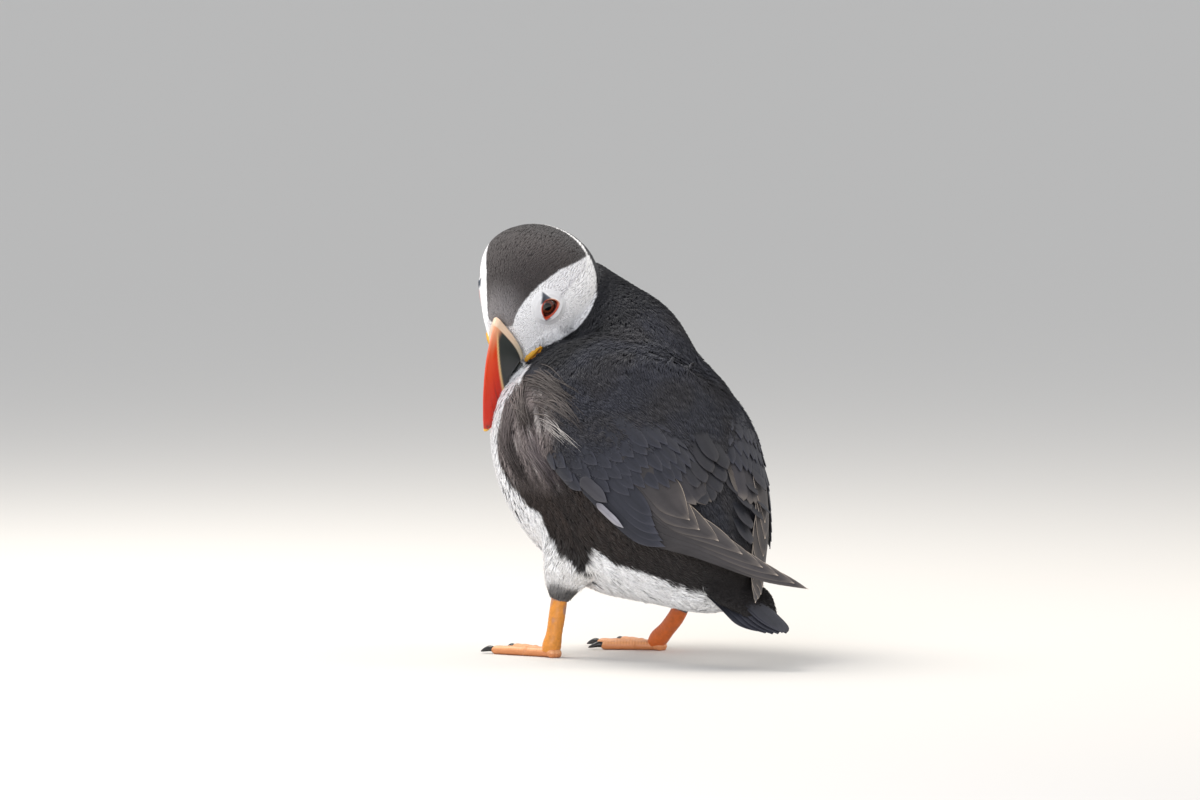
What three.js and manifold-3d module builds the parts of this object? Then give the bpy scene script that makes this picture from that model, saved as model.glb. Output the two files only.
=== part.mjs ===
// Atlantic puffin, life size, standing and preening the left side of its breast.
// Millimetres, +Z up, floor at z = 0. The trunk heads towards -Y, the bird's left is +X,
// and the origin is the point of the floor under the middle of the bird's box.
//
// Every fleshy piece is a loft: rows of named sections carried along a smooth line.
// Neighbours are cut by copies grown by the gap, so no two solids overlap.

import * as THREE from 'three';
import { mergeVertices } from 'three/addons/utils/BufferGeometryUtils.js';
import Module from 'manifold-3d';

const wasm = await Module();
wasm.setup();

// ---------------------------------------------------------------- driving sizes

const gap = 0.3; // clearance between neighbouring solids
const boxMiddle = new THREE.Vector3(0.2, 15.5, 0); // middle of the bird's box over the floor

const headTurn = 101; // degrees the head is turned to the bird's left
const headPitch = 44.3; // degrees the bill points below the horizontal
const headRoll = 15.1; // degrees the left cheek is tipped down
const culmenBase = new THREE.Vector3(39.1, -39, 140); // where forehead meets bill

const neckCut = { at: new THREE.Vector3(0, -22, 121), tilt: 30 }; // plane between neck and trunk

const eyeRadius = 5.2;
const eyeCentre = [-16.7, 13.8, -6.6]; // in the head's frame: forwards, left, up
const rosetteCentre = [-2.4, 9.2, -22.8];
const rosetteSize = [3.4, 2.4, 4.4];

// Trunk, rump to shoulders: x, y, z, half width, height to the back, height to the belly, power
const trunkRows = [
  [0, 72, 31, 4, 3, 3, 2.0],
  [0, 65, 34, 13, 9, 15, 2.1],
  [0, 51, 43, 27, 18, 28, 2.1],
  [0, 31, 60, 39, 32, 48, 2.1],
  [0, 9, 78, 46, 46, 59, 2.1],
  [0, -9, 95, 48.5, 52, 60.5, 2.1],
  [-5, -15, 107, 42, 48, 55, 2.0],
  [-12.5, -17, 117, 29.5, 38, 40, 2.0],
  [-17, -18, 124, 19, 25, 26, 2.0],
  [-18, -19, 128, 9, 11, 13, 2.0],
];

const neckRows = [
  [-11, -14, 112, 30, 38, 38, 2.0],
  [-15, -21, 126, 25, 32, 33, 2.0],
  [-17, -32, 138, 17.5, 22, 26, 2.0],
  [-14, -42, 147, 14, 15.5, 21, 2.0],
  [-9, -50, 152, 11, 11, 16, 2.0],
];

// Head, bill base to nape, in the head's frame: forwards, top, bottom, half width, power
const headRows = [
  [0, -0.5, -37.5, 7.7, 2.3],
  [-3, 3, -38.5, 11.4, 2.2],
  [-9, 7.5, -38.5, 15.8, 2.2],
  [-17, 11.5, -37, 20.1, 2.15],
  [-27, 13.8, -35, 25, 2.15],
  [-37, 12.3, -32, 25.6, 2.2],
  [-46, 7.3, -28, 21.3, 2.1],
  [-52, 0, -22, 14.2, 2.0],
  [-54.5, -7, -16, 4, 2.0],
];
const headBelowMiddle = 3; // widest line of the head lies this far below its half height

// Bill halves: upper edge forwards and up, lower edge forwards and up, half width
const upperBillRows = [
  [0.3, 0, 1.2, -24, 7.2],
  [8.5, -2.1, 8, -26.5, 5.2],
  [17.3, -8.8, 15, -29.5, 4.1],
  [25, -19.4, 22, -33, 3.1],
  [29.8, -29.7, 27.5, -35.5, 2.1],
  [32.2, -37, 31, -38, 0.9],
];
const lowerBillRows = [
  [1.2, -24.6, 0.3, -38.5, 6.8],
  [8, -27.1, 9, -40.8, 4.9],
  [15, -30.1, 17, -41.2, 3.8],
  [22, -33.6, 23.5, -40.2, 2.8],
  [27, -36.1, 27.5, -39.2, 1.8],
  [30, -38.2, 30.2, -39, 0.8],
];
// Half section of a bill half: share of the height from the cutting edge, share of the width
const billSection = [
  [0, 0], [0.06, 0.85], [0.2, 1], [0.45, 0.93], [0.7, 0.72], [0.88, 0.42], [0.97, 0.2], [1, 0],
];

// Folded wings, shoulder to tip: leading edge, inner edge, outward bulge, thickness
const leftWingRows = [
  [37, -16, 101, 18, 3, 122, 5, 4],
  [45.5, -5, 91, 22, 14, 119, 7.5, 7],
  [49, 11, 78, 19, 32, 108, 9, 8],
  [45.5, 30, 65.5, 10, 48, 89, 7.5, 7],
  [36.5, 49, 51.5, 6, 60.5, 67, 4.5, 5],
  [23, 67.5, 45.5, -2, 72, 53, 2.5, 3.5],
  [5, 87, 37, -5, 88, 44, 0.8, 2.2],
  [-8, 104, 33, -8.6, 104, 34.4, 0, 1],
];
const rightWingRows = [
  [-45, -15, 101, -29, 0, 127, 3, 4],
  [-48, -5, 91, -27, 11, 122, 6.5, 7],
  [-48.5, 11, 78, -20, 30, 109, 8, 8],
  [-45, 29, 65.5, -12, 47, 89, 6, 7],
  [-36, 46.5, 50, -9, 59.5, 67, 3, 5],
  [-22.5, 61, 38.5, -7, 66, 46, 1.8, 3.5],
  [-4, 79, 29.5, -2, 79.5, 34, 0.8, 2.2],
  [8, 91, 27.5, 8.6, 90.6, 29, 0, 1],
];

const tailRows = [
  [0, 58, 36, 11, 3, 3, 2.4],
  [0.5, 67, 31.5, 15.5, 2.5, 2.5, 2.6],
  [1, 77, 26.5, 14.5, 1.7, 1.7, 3],
  [1, 87, 21, 8.5, 1.2, 1.2, 3],
  [1.5, 94, 17.5, 4.6, 0.9, 0.9, 3],
  [2, 99, 15, 1.6, 0.6, 0.6, 2],
];

// Legs: feathered thigh, bare tarsus, then toes fanned about the ankle
const legs = {
  left: {
    thigh: [
      [24, 2, 54, 14, 17, 17, 2],
      [28, -2, 42, 13, 15, 15, 2],
      [31, -4.6, 33, 9.4, 10, 10, 2],
      [32.5, -5.6, 26, 5.8, 6, 6, 2],
      [32.9, -6, 22.5, 4.8, 5, 5, 2],
    ],
    tarsus: [
      [32.6, -5.7, 28, 3.2, 3.4, 3.4, 2],
      [34, -6.1, 18, 3.3, 3.7, 3.7, 2],
      [35.2, -6.6, 10, 3.2, 3.6, 3.6, 2],
      [35.9, -7.2, 5, 3.9, 4.2, 3.8, 2],
      [36.1, -7.8, 2.2, 3.6, 3.8, 3.6, 2],
    ],
    ankle: [36, -7.2],
    heading: -7, // degrees the middle toe points away from the midline
  },
  right: {
    thigh: [
      [-22, 14, 50, 14, 17, 17, 2],
      [-21, 14, 38, 12.5, 14, 14, 2],
      [-19.5, 13.5, 28, 8.8, 9.4, 9.4, 2],
      [-18.6, 12.6, 20.5, 5.4, 5.8, 5.8, 2],
      [-18.3, 11.8, 17, 4.4, 4.8, 4.8, 2],
    ],
    tarsus: [
      [-18.7, 14, 23, 3.1, 3.3, 3.3, 2],
      [-18, 9.5, 15.5, 3.3, 3.7, 3.7, 2],
      [-17.6, 3.6, 9.4, 3.2, 3.6, 3.6, 2],
      [-17.5, -1.4, 5, 3.9, 4.2, 3.8, 2],
      [-17.5, -4, 2.4, 3.6, 3.6, 2.6, 2],
    ],
    ankle: [-17.5, -3.2],
    heading: -16,
  },
};
const toes = {
  inner: { length: 23.5, spread: -29 },
  middle: { length: 30, spread: 0 },
  outer: { length: 29.5, spread: 26 },
};
const toeRadius = 2.3;
const heelLength = 4.4; // pad behind the ankle
const toeSwell = [ // share of the toe's length and of its radius, from heel pad over the joints to the tip
  [0, 1.05],
  [0.12, 1.25],
  [0.45, 0.95],
  [0.5, 1.1],
  [0.55, 0.95],
  [0.8, 0.9],
  [1, 0.7],
];
const toeLift = 1.7; // height of a toe's middle line, so that its sole is a flat
const webThickness = 1.2;
const webHeight = 0.5; // underside of the web over the floor
const webReach = 0.93; // share of a toe's length that the web runs along
const webHollow = 0.09; // how far its free edge is drawn in
const clawLength = 6;
const clawRadius = 1.4;
const clawRows = [ // share of its length, height over the toe's middle line, share of its radius
  [0, 0.2, 0.95],
  [0.3, 0.3, 1],
  [0.65, -0.2, 0.75],
  [1, -0.9, 0.3],
];

// ---------------------------------------------------------------- materials

const finish = (color, roughness) => new THREE.MeshStandardMaterial({ color, roughness, metalness: 0 });
const blackPlumage = finish('#34353b', 0.85);
const whitePlumage = finish('#e9e7e2', 0.9);
const duskyPlumage = finish('#3a302c', 0.88);
const billHorn = finish('#e03a10', 0.35);
const gapeSkin = finish('#e0a020', 0.6);
const eyeGloss = finish('#2a1a12', 0.08);
const legSkin = finish('#d98a2e', 0.5);
const clawHorn = finish('#1c1a19', 0.35);

// ---------------------------------------------------------------- solids

const vec = (x, y, z) => new THREE.Vector3(x, y, z);

function toSolid(geometry) {
  const bare = geometry.clone();
  bare.deleteAttribute('normal');
  bare.deleteAttribute('uv');
  const merged = mergeVertices(bare, 1e-5);
  const vertProperties = new Float32Array(merged.attributes.position.array);
  const triVerts = new Uint32Array(merged.index.array);
  return new wasm.Manifold(new wasm.Mesh({ numProp: 3, vertProperties, triVerts }));
}

function toMesh(name, solid, material) {
  const { vertProperties, triVerts } = solid.getMesh();
  const geometry = new THREE.BufferGeometry();
  geometry.setAttribute('position', new THREE.BufferAttribute(new Float32Array(vertProperties), 3));
  geometry.setIndex(new THREE.BufferAttribute(new Uint32Array(triVerts), 1));
  geometry.computeVertexNormals();
  const mesh = new THREE.Mesh(geometry, material);
  mesh.name = name;
  return mesh;
}

// Closed solid from rings of points: side walls between rings and a fan over each end.
// Rings run anticlockwise about the direction in which they advance.
function ringSolid(rings) {
  const sides = rings[0].length;
  const points = rings.flat();
  const first = points.push(capCentre(rings[0])) - 1;
  const last = points.push(capCentre(rings[rings.length - 1])) - 1;
  const faces = [];
  for (let i = 0; i + 1 < rings.length; i++) {
    for (let j = 0; j < sides; j++) {
      const a = i * sides + j;
      const b = i * sides + ((j + 1) % sides);
      faces.push(a, b, b + sides, a, b + sides, a + sides);
    }
  }
  const top = (rings.length - 1) * sides;
  for (let j = 0; j < sides; j++) {
    const k = (j + 1) % sides;
    faces.push(first, k, j, last, top + j, top + k);
  }
  const geometry = new THREE.BufferGeometry().setFromPoints(points);
  geometry.setIndex(faces);
  return toSolid(geometry);
}

// Half way between two opposite points, which stays inside a bent lens as well as an oval.
function capCentre(ring) {
  const quarter = Math.floor(ring.length / 4);
  return ring[quarter].clone().lerp(ring[3 * quarter], 0.5);
}

// Smooth rows: each column follows a uniform Catmull-Rom curve through the given rows.
function smoothRows(rows, steps) {
  const extended = [
    rows[0].map((value, k) => 2 * value - rows[1][k]),
    ...rows,
    rows.at(-1).map((value, k) => 2 * value - rows.at(-2)[k]),
  ];
  return Array.from({ length: steps }, (_, s) => {
    const t = (s * (rows.length - 1)) / (steps - 1);
    const i = Math.min(Math.floor(t), rows.length - 2);
    const [p0, p1, p2, p3] = extended.slice(i, i + 4);
    return p1.map((_, k) => catmullRom(p0[k], p1[k], p2[k], p3[k], t - i));
  });
}

function catmullRom(a, b, c, d, u) {
  const slope = c - a;
  const square = 2 * a - 5 * b + 4 * c - d;
  const cube = 3 * b - a - 3 * c + d;
  return 0.5 * (2 * b + slope * u + square * u * u + cube * u * u * u);
}

const roundedPower = (value, power) => Math.sign(value) * Math.abs(value) ** (2 / power);

// Loft: superellipse sections square to the line through the rows, its width kept level.
function loft(rows, { steps, sides, grow = 0 }) {
  const smooth = smoothRows(rows, steps);
  const centres = smooth.map(([x, y, z]) => vec(x, y, z));
  const rings = smooth.map(([, , , halfWidth, back, belly, power], i) => {
    const before = centres[Math.max(i - 1, 0)];
    const after = centres[Math.min(i + 1, steps - 1)];
    const along = after.clone().sub(before).normalize();
    const centre = centres[i].clone();
    if (i === 0) centre.addScaledVector(along, -grow);
    if (i === steps - 1) centre.addScaledVector(along, grow);
    const side = vec(1, 0, 0);
    side.addScaledVector(along, -side.dot(along)).normalize();
    const up = along.clone().cross(side);
    return ringOf(sides, (cosine, sine) => {
      const height = (sine > 0 ? back : belly) + grow;
      return centre
        .clone()
        .addScaledVector(side, roundedPower(cosine, power) * (halfWidth + grow))
        .addScaledVector(up, roundedPower(sine, power) * height);
    });
  });
  return ringSolid(rings);
}

function ringOf(sides, pointAt) {
  return Array.from({ length: sides }, (_, j) => {
    const angle = (2 * Math.PI * j) / sides;
    return pointAt(Math.cos(angle), Math.sin(angle));
  });
}

// ---------------------------------------------------------------- head frame

const radians = THREE.MathUtils.degToRad;

function makeHeadFrame() {
  const turn = radians(headTurn);
  const pitch = radians(headPitch);
  const roll = radians(headRoll);
  const level = vec(Math.sin(turn), -Math.cos(turn), 0);
  const levelLeft = vec(Math.cos(turn), Math.sin(turn), 0);
  const forward = level.clone().multiplyScalar(Math.cos(pitch));
  forward.z = -Math.sin(pitch);
  const crown = forward.clone().cross(levelLeft);
  const left = levelLeft.clone().multiplyScalar(Math.cos(roll)).addScaledVector(crown, -Math.sin(roll));
  const up = forward.clone().cross(left);
  return new THREE.Matrix4().makeBasis(forward, left, up).setPosition(culmenBase);
}
const headFrame = makeHeadFrame();
const inHead = (forwards, left, up) => vec(forwards, left, up).applyMatrix4(headFrame);

function headSolid({ steps, sides, grow = 0 }) {
  const rings = smoothRows(headRows, steps).map(([forwards, top, bottom, halfWidth, power], i) => {
    const middle = (top + bottom) / 2 - headBelowMiddle;
    const shift = i === 0 ? grow : i === steps - 1 ? -grow : 0;
    return ringOf(sides, (cosine, sine) => {
      const height = (sine > 0 ? top - middle : middle - bottom) + grow;
      const y = roundedPower(cosine, power) * (halfWidth + grow);
      return inHead(forwards + shift, -y, middle + roundedPower(sine, power) * height);
    });
  });
  return ringSolid(rings);
}

function billSolid(rows, { steps, edgeOnTop, grow = 0 }) {
  const outline = [
    ...billSection.map(([height, width]) => [height, width]),
    ...billSection.slice(1, -1).reverse().map(([height, width]) => [height, -width]),
  ];
  const rings = smoothRows(rows, steps).map(([topX, topZ, lowX, lowZ, halfWidth], i) => {
    const from = edgeOnTop ? [topX, topZ] : [lowX, lowZ];
    const to = edgeOnTop ? [lowX, lowZ] : [topX, topZ];
    const span = Math.hypot(to[0] - from[0], to[1] - from[1]);
    const shift = i === 0 ? -grow : i === steps - 1 ? grow : 0;
    const ring = outline.map(([height, width]) => {
      const along = height * (span + 2 * grow) - grow;
      const x = from[0] + ((to[0] - from[0]) * along) / span + shift;
      const z = from[1] + ((to[1] - from[1]) * along) / span;
      return inHead(x, width * (halfWidth + grow), z);
    });
    return edgeOnTop ? ring.reverse() : ring;
  });
  return ringSolid(rings);
}

function ellipsoidInHead([x, y, z], [a, b, c], side) {
  const geometry = new THREE.SphereGeometry(1, 12, 8);
  geometry.scale(a, b, c);
  geometry.translate(x, side * y, z);
  geometry.applyMatrix4(headFrame);
  return toSolid(geometry);
}

// ---------------------------------------------------------------- wings

// Curved lens between two edges: bulges outwards across its width, thickest in the middle.
function wingSolid(rows, side, { steps, sides, grow = 0 }) {
  const smooth = smoothRows(rows, steps);
  const middles = smooth.map(([x, y, z, u, v, w]) => vec((x + u) / 2, (y + v) / 2, (z + w) / 2));
  const rings = smooth.map(([x, y, z, u, v, w, bulge, thickness], i) => {
    const along = middles[Math.min(i + 1, steps - 1)].clone().sub(middles[Math.max(i - 1, 0)]).normalize();
    const leading = vec(x, y, z);
    const chord = vec(u, v, w).sub(leading);
    const across = chord.clone().normalize();
    const outward = along.clone().cross(chord).normalize().multiplyScalar(side);
    const shift = i === 0 ? -grow : i === steps - 1 ? grow : 0;
    const ring = ringOf(sides, (cosine, sine) => {
      const share = (1 - cosine) / 2;
      const slope = (bulge * 4 * (1 - 2 * share)) / chord.length();
      const tangent = across.clone().addScaledVector(outward, slope).normalize();
      const normal = outward.clone().addScaledVector(across, -slope).normalize();
      return leading
        .clone()
        .addScaledVector(along, shift)
        .addScaledVector(chord, share)
        .addScaledVector(outward, bulge * 4 * share * (1 - share))
        .addScaledVector(tangent, -cosine * grow)
        .addScaledVector(normal, (thickness / 2 + grow) * sine);
    });
    return side > 0 ? ring.reverse() : ring;
  });
  return ringSolid(rings);
}

// ---------------------------------------------------------------- legs

const aboveFloor = toSolid(new THREE.BoxGeometry(400, 400, 100).translate(0, 0, 50));

function headingVector(degrees) {
  return vec(Math.sin(radians(degrees)), -Math.cos(radians(degrees)), 0);
}

function toeLine(leg, side, toe) {
  const start = vec(leg.ankle[0], leg.ankle[1], toeLift);
  const direction = headingVector(side * (leg.heading + toe.spread));
  return { start, direction, end: start.clone().addScaledVector(direction, toe.length) };
}

function toeSolid(line, grow) {
  const { start, direction, end } = line;
  const heel = start.clone().addScaledVector(direction, -heelLength);
  const rows = toeSwell.map(([share, swell]) => {
    const radius = toeRadius * swell + grow;
    const point = heel.clone().lerp(end, share);
    return [point.x, point.y, point.z, radius, radius, radius, 2];
  });
  return loft(rows, { steps: 8, sides: 7 });
}

// Skin between two toes, its free edge drawn in between the toe tips.
function webSolid(a, b, grow) {
  const edgeSteps = 4;
  const outline = [a.start.clone().addScaledVector(a.direction, -1)];
  const tipA = a.start.clone().lerp(a.end, webReach);
  const tipB = b.start.clone().lerp(b.end, webReach);
  for (let k = 0; k <= edgeSteps; k++) {
    const share = k / edgeSteps;
    const hollow = webHollow * 4 * share * (1 - share);
    outline.push(tipA.clone().lerp(tipB, share).lerp(a.start, hollow));
  }
  const shape = new THREE.Shape(outline.map((point) => new THREE.Vector2(point.x, point.y)));
  const depth = webThickness + 2 * grow;
  const plate = new THREE.ExtrudeGeometry(shape, { depth, bevelEnabled: false });
  plate.translate(0, 0, webHeight - grow);
  return toSolid(plate);
}

function clawSolid(line) {
  const rows = clawRows.map(([share, rise, swell]) => {
    const point = line.end.clone().addScaledVector(line.direction, gap + share * clawLength);
    point.z = toeLift + rise;
    const radius = clawRadius * swell;
    return [point.x, point.y, point.z, radius, radius, radius, 2];
  });
  return loft(rows, { steps: 5, sides: 6 });
}

function footSolid(leg, side, grow = 0) {
  const lines = Object.values(toes).map((toe) => toeLine(leg, side, toe));
  const [inner, middle, outer] = lines;
  const webs = [webSolid(inner, middle, grow), webSolid(middle, outer, grow)];
  const solids = [...lines.map((line) => toeSolid(line, grow)), ...webs];
  return solids.reduce((whole, solid) => whole.add(solid));
}

// ---------------------------------------------------------------- joining and cutting

function upperHalf(shift) {
  const size = 400;
  const block = new THREE.BoxGeometry(size, size, size).translate(0, 0, size / 2 + shift);
  block.rotateX(radians(neckCut.tilt));
  block.translate(neckCut.at.x, neckCut.at.y, neckCut.at.z);
  return toSolid(block);
}

const cutBy = (solid, cutters) => cutters.reduce((rest, cutter) => rest.subtract(cutter), solid);

const bird = new THREE.Group();
bird.position.copy(boxMiddle).negate();
const headGroup = new THREE.Group();
const legGroup = new THREE.Group();
bird.add(headGroup, legGroup);

const facets = {
  head: { steps: 15, sides: 22 },
  trunk: { steps: 18, sides: 24 },
  neck: { steps: 7, sides: 18 },
  wing: { steps: 15, sides: 16 },
  tail: { steps: 8, sides: 10 },
  thigh: { steps: 8, sides: 12 },
  tarsus: { steps: 8, sides: 10 },
};
const sideSign = { left: 1, right: -1 };
const sides = Object.keys(sideSign);

// Horn, eyes and gape first, because the flesh is cut to fit them.
const ballInHead = (radius, side) => ellipsoidInHead(eyeCentre, [radius, radius, radius], sideSign[side]);
const eyes = sides.map((side) => ballInHead(eyeRadius, side));
const eyePockets = sides.map((side) => ballInHead(eyeRadius + gap, side));
const headGrown = headSolid({ ...facets.head, grow: gap });
const rosettes = sides.map((side) => ellipsoidInHead(rosetteCentre, rosetteSize, sideSign[side]));
const rosetteGrown = sides.map((side) =>
  ellipsoidInHead(rosetteCentre, rosetteSize.map((size) => size + gap), sideSign[side]),
);
const upperBillGrown = billSolid(upperBillRows, { steps: 8, edgeOnTop: false, grow: gap });
const lowerBillGrown = billSolid(lowerBillRows, { steps: 8, edgeOnTop: true, grow: gap });
const upperBill = billSolid(upperBillRows, { steps: 8, edgeOnTop: false });
const lowerBill = billSolid(lowerBillRows, { steps: 8, edgeOnTop: true });

const head = cutBy(headSolid(facets.head), [...eyePockets, ...rosetteGrown, upperBillGrown, lowerBillGrown]);

const wingPair = (grow) => [
  wingSolid(leftWingRows, 1, { ...facets.wing, grow }),
  wingSolid(rightWingRows, -1, { ...facets.wing, grow }),
];
const wings = wingPair(0);
const wingsGrown = wingPair(2 * gap);
const tail = cutBy(loft(tailRows, facets.tail), wingsGrown);
const tailGrown = loft(tailRows, { ...facets.tail, grow: gap });

const body = cutBy(loft(trunkRows, facets.trunk).add(loft(neckRows, facets.neck)), [
  headGrown,
  ...eyePockets,
  ...rosetteGrown,
  upperBillGrown,
  lowerBillGrown,
  ...wingsGrown,
  tailGrown,
]);
const neck = body.intersect(upperHalf(gap / 2));
const thighCutters = sides.map((side) => loft(legs[side].thigh, { ...facets.thigh, grow: gap }));
const trunk = cutBy(body.subtract(upperHalf(-gap / 2)), thighCutters);

headGroup.add(
  toMesh('head', head, blackPlumage),
  toMesh('bill_upper', upperBill, billHorn),
  toMesh('bill_lower', lowerBill, billHorn),
);
sides.forEach((side, i) => {
  headGroup.add(
    toMesh(`eye_${side}`, eyes[i], eyeGloss),
    toMesh(`rosette_${side}`, cutBy(rosettes[i], [upperBillGrown, lowerBillGrown]), gapeSkin),
  );
});
bird.add(
  toMesh('neck', neck, blackPlumage),
  toMesh('trunk', trunk, duskyPlumage),
  toMesh('tail', tail, blackPlumage),
  toMesh('wing_left', wings[0], blackPlumage),
  toMesh('wing_right', cutBy(wings[1], [wingsGrown[0]]), blackPlumage),
);

for (const side of sides) {
  const leg = legs[side];
  const sign = sideSign[side];
  const tarsusGrown = loft(leg.tarsus, { ...facets.tarsus, grow: gap });
  const thigh = cutBy(loft(leg.thigh, facets.thigh), [tarsusGrown, ...wingsGrown]);
  const tarsus = loft(leg.tarsus, facets.tarsus).intersect(aboveFloor);
  const foot = footSolid(leg, sign).subtract(tarsusGrown).intersect(aboveFloor);
  for (const [name, toe] of Object.entries(toes)) {
    const line = toeLine(leg, sign, toe);
    legGroup.add(toMesh(`claw_${side}_${name}`, clawSolid(line).intersect(aboveFloor), clawHorn));
  }
  legGroup.add(
    toMesh(`thigh_${side}`, thigh, whitePlumage),
    toMesh(`tarsus_${side}`, tarsus, legSkin),
    toMesh(`foot_${side}`, foot, legSkin),
  );
}

export default bird;
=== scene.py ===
import math

import bpy
import numpy as np
from mathutils import Matrix, Vector
from mathutils.bvhtree import BVHTree
from mathutils.kdtree import KDTree


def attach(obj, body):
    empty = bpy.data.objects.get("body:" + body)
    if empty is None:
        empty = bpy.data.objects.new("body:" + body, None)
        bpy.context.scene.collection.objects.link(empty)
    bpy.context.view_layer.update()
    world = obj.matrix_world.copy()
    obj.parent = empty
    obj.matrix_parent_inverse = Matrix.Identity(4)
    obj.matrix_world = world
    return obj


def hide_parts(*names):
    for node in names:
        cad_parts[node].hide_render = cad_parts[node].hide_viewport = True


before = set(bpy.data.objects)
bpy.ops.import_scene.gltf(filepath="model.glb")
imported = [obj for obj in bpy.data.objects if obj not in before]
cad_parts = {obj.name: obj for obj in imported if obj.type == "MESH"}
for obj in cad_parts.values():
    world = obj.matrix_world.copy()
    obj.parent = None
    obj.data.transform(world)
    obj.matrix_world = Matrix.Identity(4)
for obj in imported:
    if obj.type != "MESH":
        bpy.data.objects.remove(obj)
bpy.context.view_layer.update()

# Atlantic puffin, life size, preening the left side of its breast.
# Shapes are worked out in millimetres, +Z up, the trunk heading -Y and its left at +X;
# toWorld turns them into the frame's metres.
boxMiddle = np.array([0.2, 15.5, 0.0])


def toWorld(points):
    return (np.asarray(points, float) - boxMiddle) * 0.001


def toBird(points):
    return np.asarray(points, float) * 1000 + boxMiddle


def unit(vectors):
    return vectors / np.maximum(np.linalg.norm(vectors, axis=-1, keepdims=True), 1e-9)


def ease(value):  # smooth step from 0 to 1
    value = np.clip(value, 0, 1)
    return value * value * (3 - 2 * value)


def blend(a, b, share):
    share = np.asarray(share)[..., None]
    return a * (1 - share) + b * share


def noise(points, size, seed=0):
    # value noise: random numbers on a lattice of the given size, joined by smooth steps, 0 to 1
    cell = np.asarray(points) / size + 31.7 * seed
    low = np.floor(cell).astype(np.int64)
    part = cell - low
    part = part * part * (3 - 2 * part)
    total = 0
    for corner in np.ndindex(2, 2, 2):
        at = low + corner
        key = (at[..., 0] * 73856093) ^ (at[..., 1] * 19349663) ^ (at[..., 2] * 83492791) ^ (seed * 2654435)
        key = (key ^ (key >> 13)) * 1274126177 & 0x7FFFFFFF
        weight = np.prod(np.where(corner, part, 1 - part), axis=-1)
        total = total + weight * (key % 65536) / 65535
    return total


def linear(hexText):
    # sRGB hex colour to linear light
    channels = np.array([int(hexText[k:k + 2], 16) for k in (1, 3, 5)]) / 255
    return np.where(channels <= 0.04045, channels / 12.92, ((channels + 0.055) / 1.055) ** 2.4)


def linear4(hexText):
    return (*linear(hexText), 1.0)


def linearAll(texts):
    return {key: linear(text) for key, text in texts.items() if isinstance(text, str)}


def smoothRows(rows, t):
    # uniform Catmull-Rom curve through the rows, t from 0 at the first to 1 at the last
    rows = np.asarray(rows, float)
    rows = np.vstack([2 * rows[0] - rows[1], rows, 2 * rows[-1] - rows[-2]])
    place = np.clip(t, 0, 1) * (len(rows) - 3)
    i = np.minimum(place.astype(int), len(rows) - 4)
    u = (place - i)[..., None]
    a, b, c, d = rows[i], rows[i + 1], rows[i + 2], rows[i + 3]
    return 0.5 * (2 * b + (c - a) * u + (2 * a - 5 * b + 4 * c - d) * u**2 + (3 * b - a - 3 * c + d) * u**3)


def rounded(value, power):
    return np.sign(value) * np.abs(value) ** (2 / power)


def tubeGrid(rows, along, around, inset=0.0):
    # superellipse sections square to the line through the rows, its width kept level;
    # rows: x, y, z, half width, height to the back, height to the belly, power
    smooth = smoothRows(rows, np.linspace(0, 1, along))
    centre = smooth[:, :3].copy()
    direction = unit(np.gradient(centre, axis=0))
    centre[0] += direction[0] * inset
    centre[-1] -= direction[-1] * inset
    side = unit(np.array([1.0, 0, 0]) - direction * direction[:, :1])
    back = np.cross(direction, side)
    angle = np.linspace(0, 2 * np.pi, around, endpoint=False)
    power = smooth[:, 6:7]
    halfWidth = np.maximum(smooth[:, 3:4] - inset, 0.3)
    cosine = rounded(np.cos(angle), power) * halfWidth
    sine = rounded(np.sin(angle), power)
    height = np.where(sine > 0, smooth[:, 4:5], smooth[:, 5:6]) - inset
    sine = sine * np.maximum(height, 0.3)
    return centre[:, None] + cosine[..., None] * side[:, None] + sine[..., None] * back[:, None]


# Head frame: forwards along the bill, left, up, from the place where forehead meets bill
headPose = {"turn": 101, "pitch": 44.3, "roll": 15.1, "culmenBase": (39.1, -39, 140)}


def headAxes(pose):
    turn, pitch, roll = (math.radians(pose[k]) for k in ("turn", "pitch", "roll"))
    level = np.array([math.sin(turn), -math.cos(turn), 0])
    levelLeft = np.array([math.cos(turn), math.sin(turn), 0])
    forward = level * math.cos(pitch) - np.array([0, 0, math.sin(pitch)])
    crown = np.cross(forward, levelLeft)
    left = levelLeft * math.cos(roll) - crown * math.sin(roll)
    return np.array([forward, left, np.cross(forward, left)])


headAxis = headAxes(headPose)
culmenBase = np.array(headPose["culmenBase"], float)


def inHead(points):
    return culmenBase + np.asarray(points, float) @ headAxis


def headwards(points):
    return (np.asarray(points, float) - culmenBase) @ headAxis.T


# Head rows: forwards, top, bottom, half width, power
headRows = [
    (0, -0.5, -37.5, 7.7, 2.3),
    (-3, 3, -38.5, 11.4, 2.2),
    (-9, 7.5, -38.5, 15.8, 2.2),
    (-17, 11.5, -37, 20.1, 2.15),
    (-27, 13.8, -35, 25, 2.15),
    (-37, 12.3, -32, 25.6, 2.2),
    (-46, 7.3, -28, 21.3, 2.1),
    (-52, 0, -22, 14.2, 2.0),
    (-54.5, -7, -16, 4, 2.0),
]
headBelowMiddle = 3


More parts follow.
